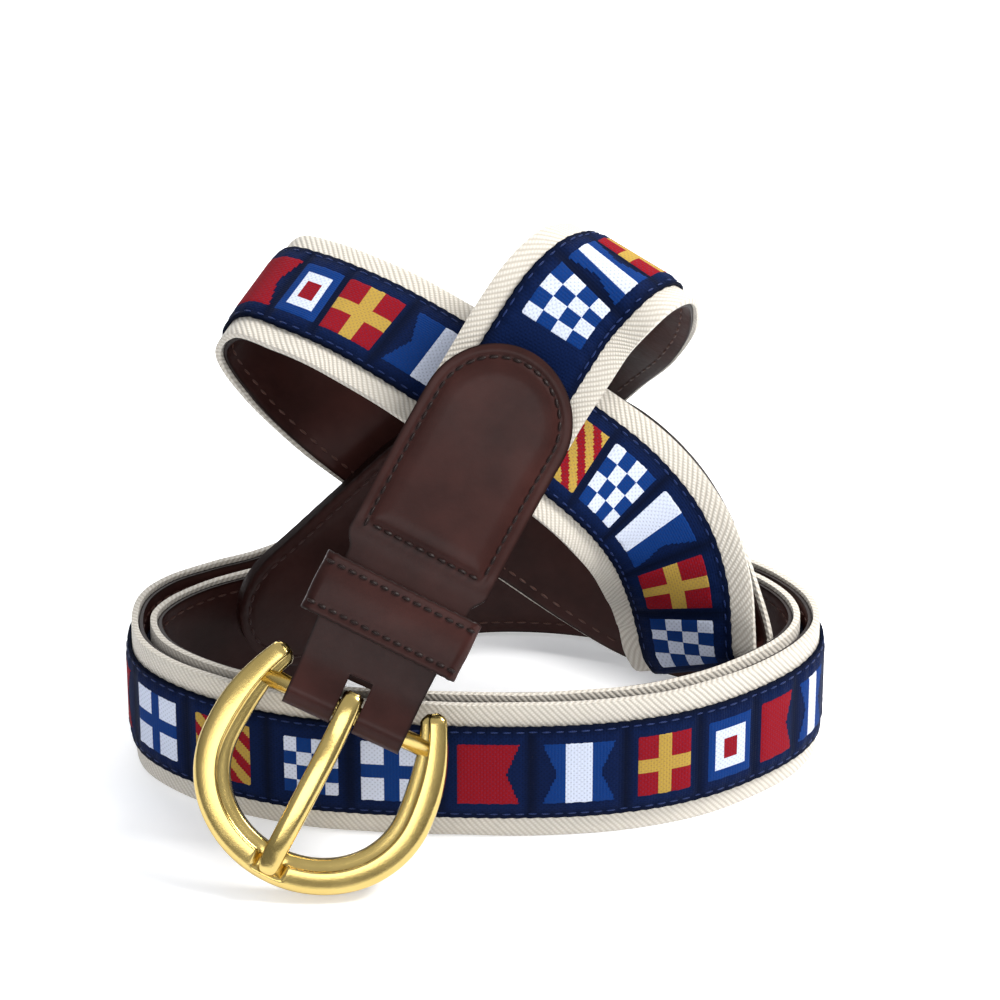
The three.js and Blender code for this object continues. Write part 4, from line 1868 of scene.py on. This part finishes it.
@dataclass
class Studio:
    """The pale floor, the soft lights and the camera."""

    effects: Effects
    camera_place: tuple[float, float, float] = (0.005198, -0.867219, 0.532723)
    camera_tilt: float = 61.5
    lens: float = 169.2
    sky_low: Colour = (0.22, 0.23, 0.26, 1.0)
    sky_high: Colour = (1.15, 1.17, 1.2, 1.0)
    sky_strength: float = 0.52

    def show(self, name: str, data: bpy.types.ID, place: tuple[float, float, float]) -> bpy.types.Object:
        """Link a light or camera at a place in metres.

        Args:
            name: The object's name.
            data: The light or camera.
            place: Where it stands.

        Returns:
            The object.
        """
        thing = bpy.data.objects.new(name, data)
        thing.location = place
        bpy.context.scene.collection.objects.link(thing)
        return thing

    def lamp(
        self, name: str, place: tuple[float, float, float], size: tuple[float, float], power: float,
        colour: tuple[float, float, float] = (1.0, 1.0, 1.0),
    ) -> None:
        """Add one soft panel light that faces the belt.

        Args:
            name: The light's name.
            place: Where it stands, in metres.
            size: Its width and height in metres.
            power: Its power in watts.
            colour: Its colour.
        """
        light = bpy.data.lights.new(name, "AREA")
        light.shape = "RECTANGLE"
        light.size, light.size_y = size
        light.energy = power
        light.color = colour
        aim = Vector((0.0, 0.0, 0.03)) - Vector(place)
        self.show(name, light, place).rotation_euler = aim.to_track_quat("-Z", "Y").to_euler()

    def build(self) -> None:
        """Make the floor, the lights, the sky and the camera."""
        bm = bmesh.new()
        bmesh.ops.create_grid(bm, x_segments=8, y_segments=8, size=3.0)
        FloorFinish("floor paper").dress(finished("floor", bm), self.effects)
        scene = bpy.context.scene
        scene.world = bpy.data.worlds.new("studio")
        scene.world.use_nodes = True
        sky = Nodes(scene.world.node_tree)
        up = sky.add("ShaderNodeSeparateXYZ", {0: sky.source("ShaderNodeTexCoord", "Generated")}).outputs["Z"]
        glow = sky.mix(sky.ramp(up, 0.0, 0.75), self.sky_low, self.sky_high)
        sky.feed(sky.tree.nodes["Background"], {"Color": glow, "Strength": self.sky_strength})
        self.lamp("key", (0.45, -0.05, 0.55), (0.26, 0.26), 6.2, (1.0, 0.985, 0.96))
        self.lamp("front", (-0.1, -0.8, 0.4), (0.5, 0.3), 1.6)
        self.lamp("back", (-0.1, 0.6, 0.5), (0.6, 0.3), 3.0)
        camera = bpy.data.cameras.new("camera")
        camera.sensor_width, camera.lens, camera.clip_end = 36.0, self.lens, 20.0
        scene.camera = self.show("camera", camera, self.camera_place)
        scene.camera.rotation_euler = (math.radians(self.camera_tilt), 0.0, 0.0)
        scene.view_settings.view_transform = "Standard"


# What each piece rides on, its slot, and the CAD node that it stands for
TIES: dict[str, tuple[str, str, str | None]] = {
    "webbing_cloth": ("belt", "canvas", "webbing"),
    "lining_leather": ("belt", "lining_leather", "lining"),
    "ribbon_cloth": ("belt", "ribbon", "ribbon"),
    "ribbon_flags": ("belt", "ribbon", None),
    "ribbon_stitches": ("belt", "ribbon", None),
    "lining_stitches": ("belt", "lining_leather", None),
    "tab_leather": ("belt", "tab_leather", "buckle_tab"),
    "tab_stitches": ("belt", "tab_leather", None),
    "keeper_leather": ("belt", "keeper_leather", "keeper"),
    "keeper_stitches": ("belt", "keeper_leather", None),
    "tip_leather": ("belt", "tip_leather", "billet"),
    "tip_stitches": ("belt", "tip_leather", None),
    "buckle_brass": ("buckle", "brass", "buckle_frame"),
    "prong_brass": ("prong", "brass", "prong"),
}


def main() -> None:
    """Build the studio and the belt, and tie each piece to the body that it moves with."""
    logging.basicConfig(level=logging.INFO, format="%(message)s")
    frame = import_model()
    effects = Effects()
    Studio(effects).build()
    route = Route()
    strap = Strap(route, effects)
    made = strap.build()
    for maker in (BuckleTab, Keeper, Tip, Buckle):
        made.extend(maker(route, effects).build())
    pieces = {piece.name: piece for piece in made}
    for name, piece in pieces.items():
        body, slot, node = TIES[name]
        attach(piece, body)
        if node:
            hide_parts(node)
        LOG.info("%s: %d faces", name, len(piece.data.polygons))


if __name__ == "__main__":
    main()
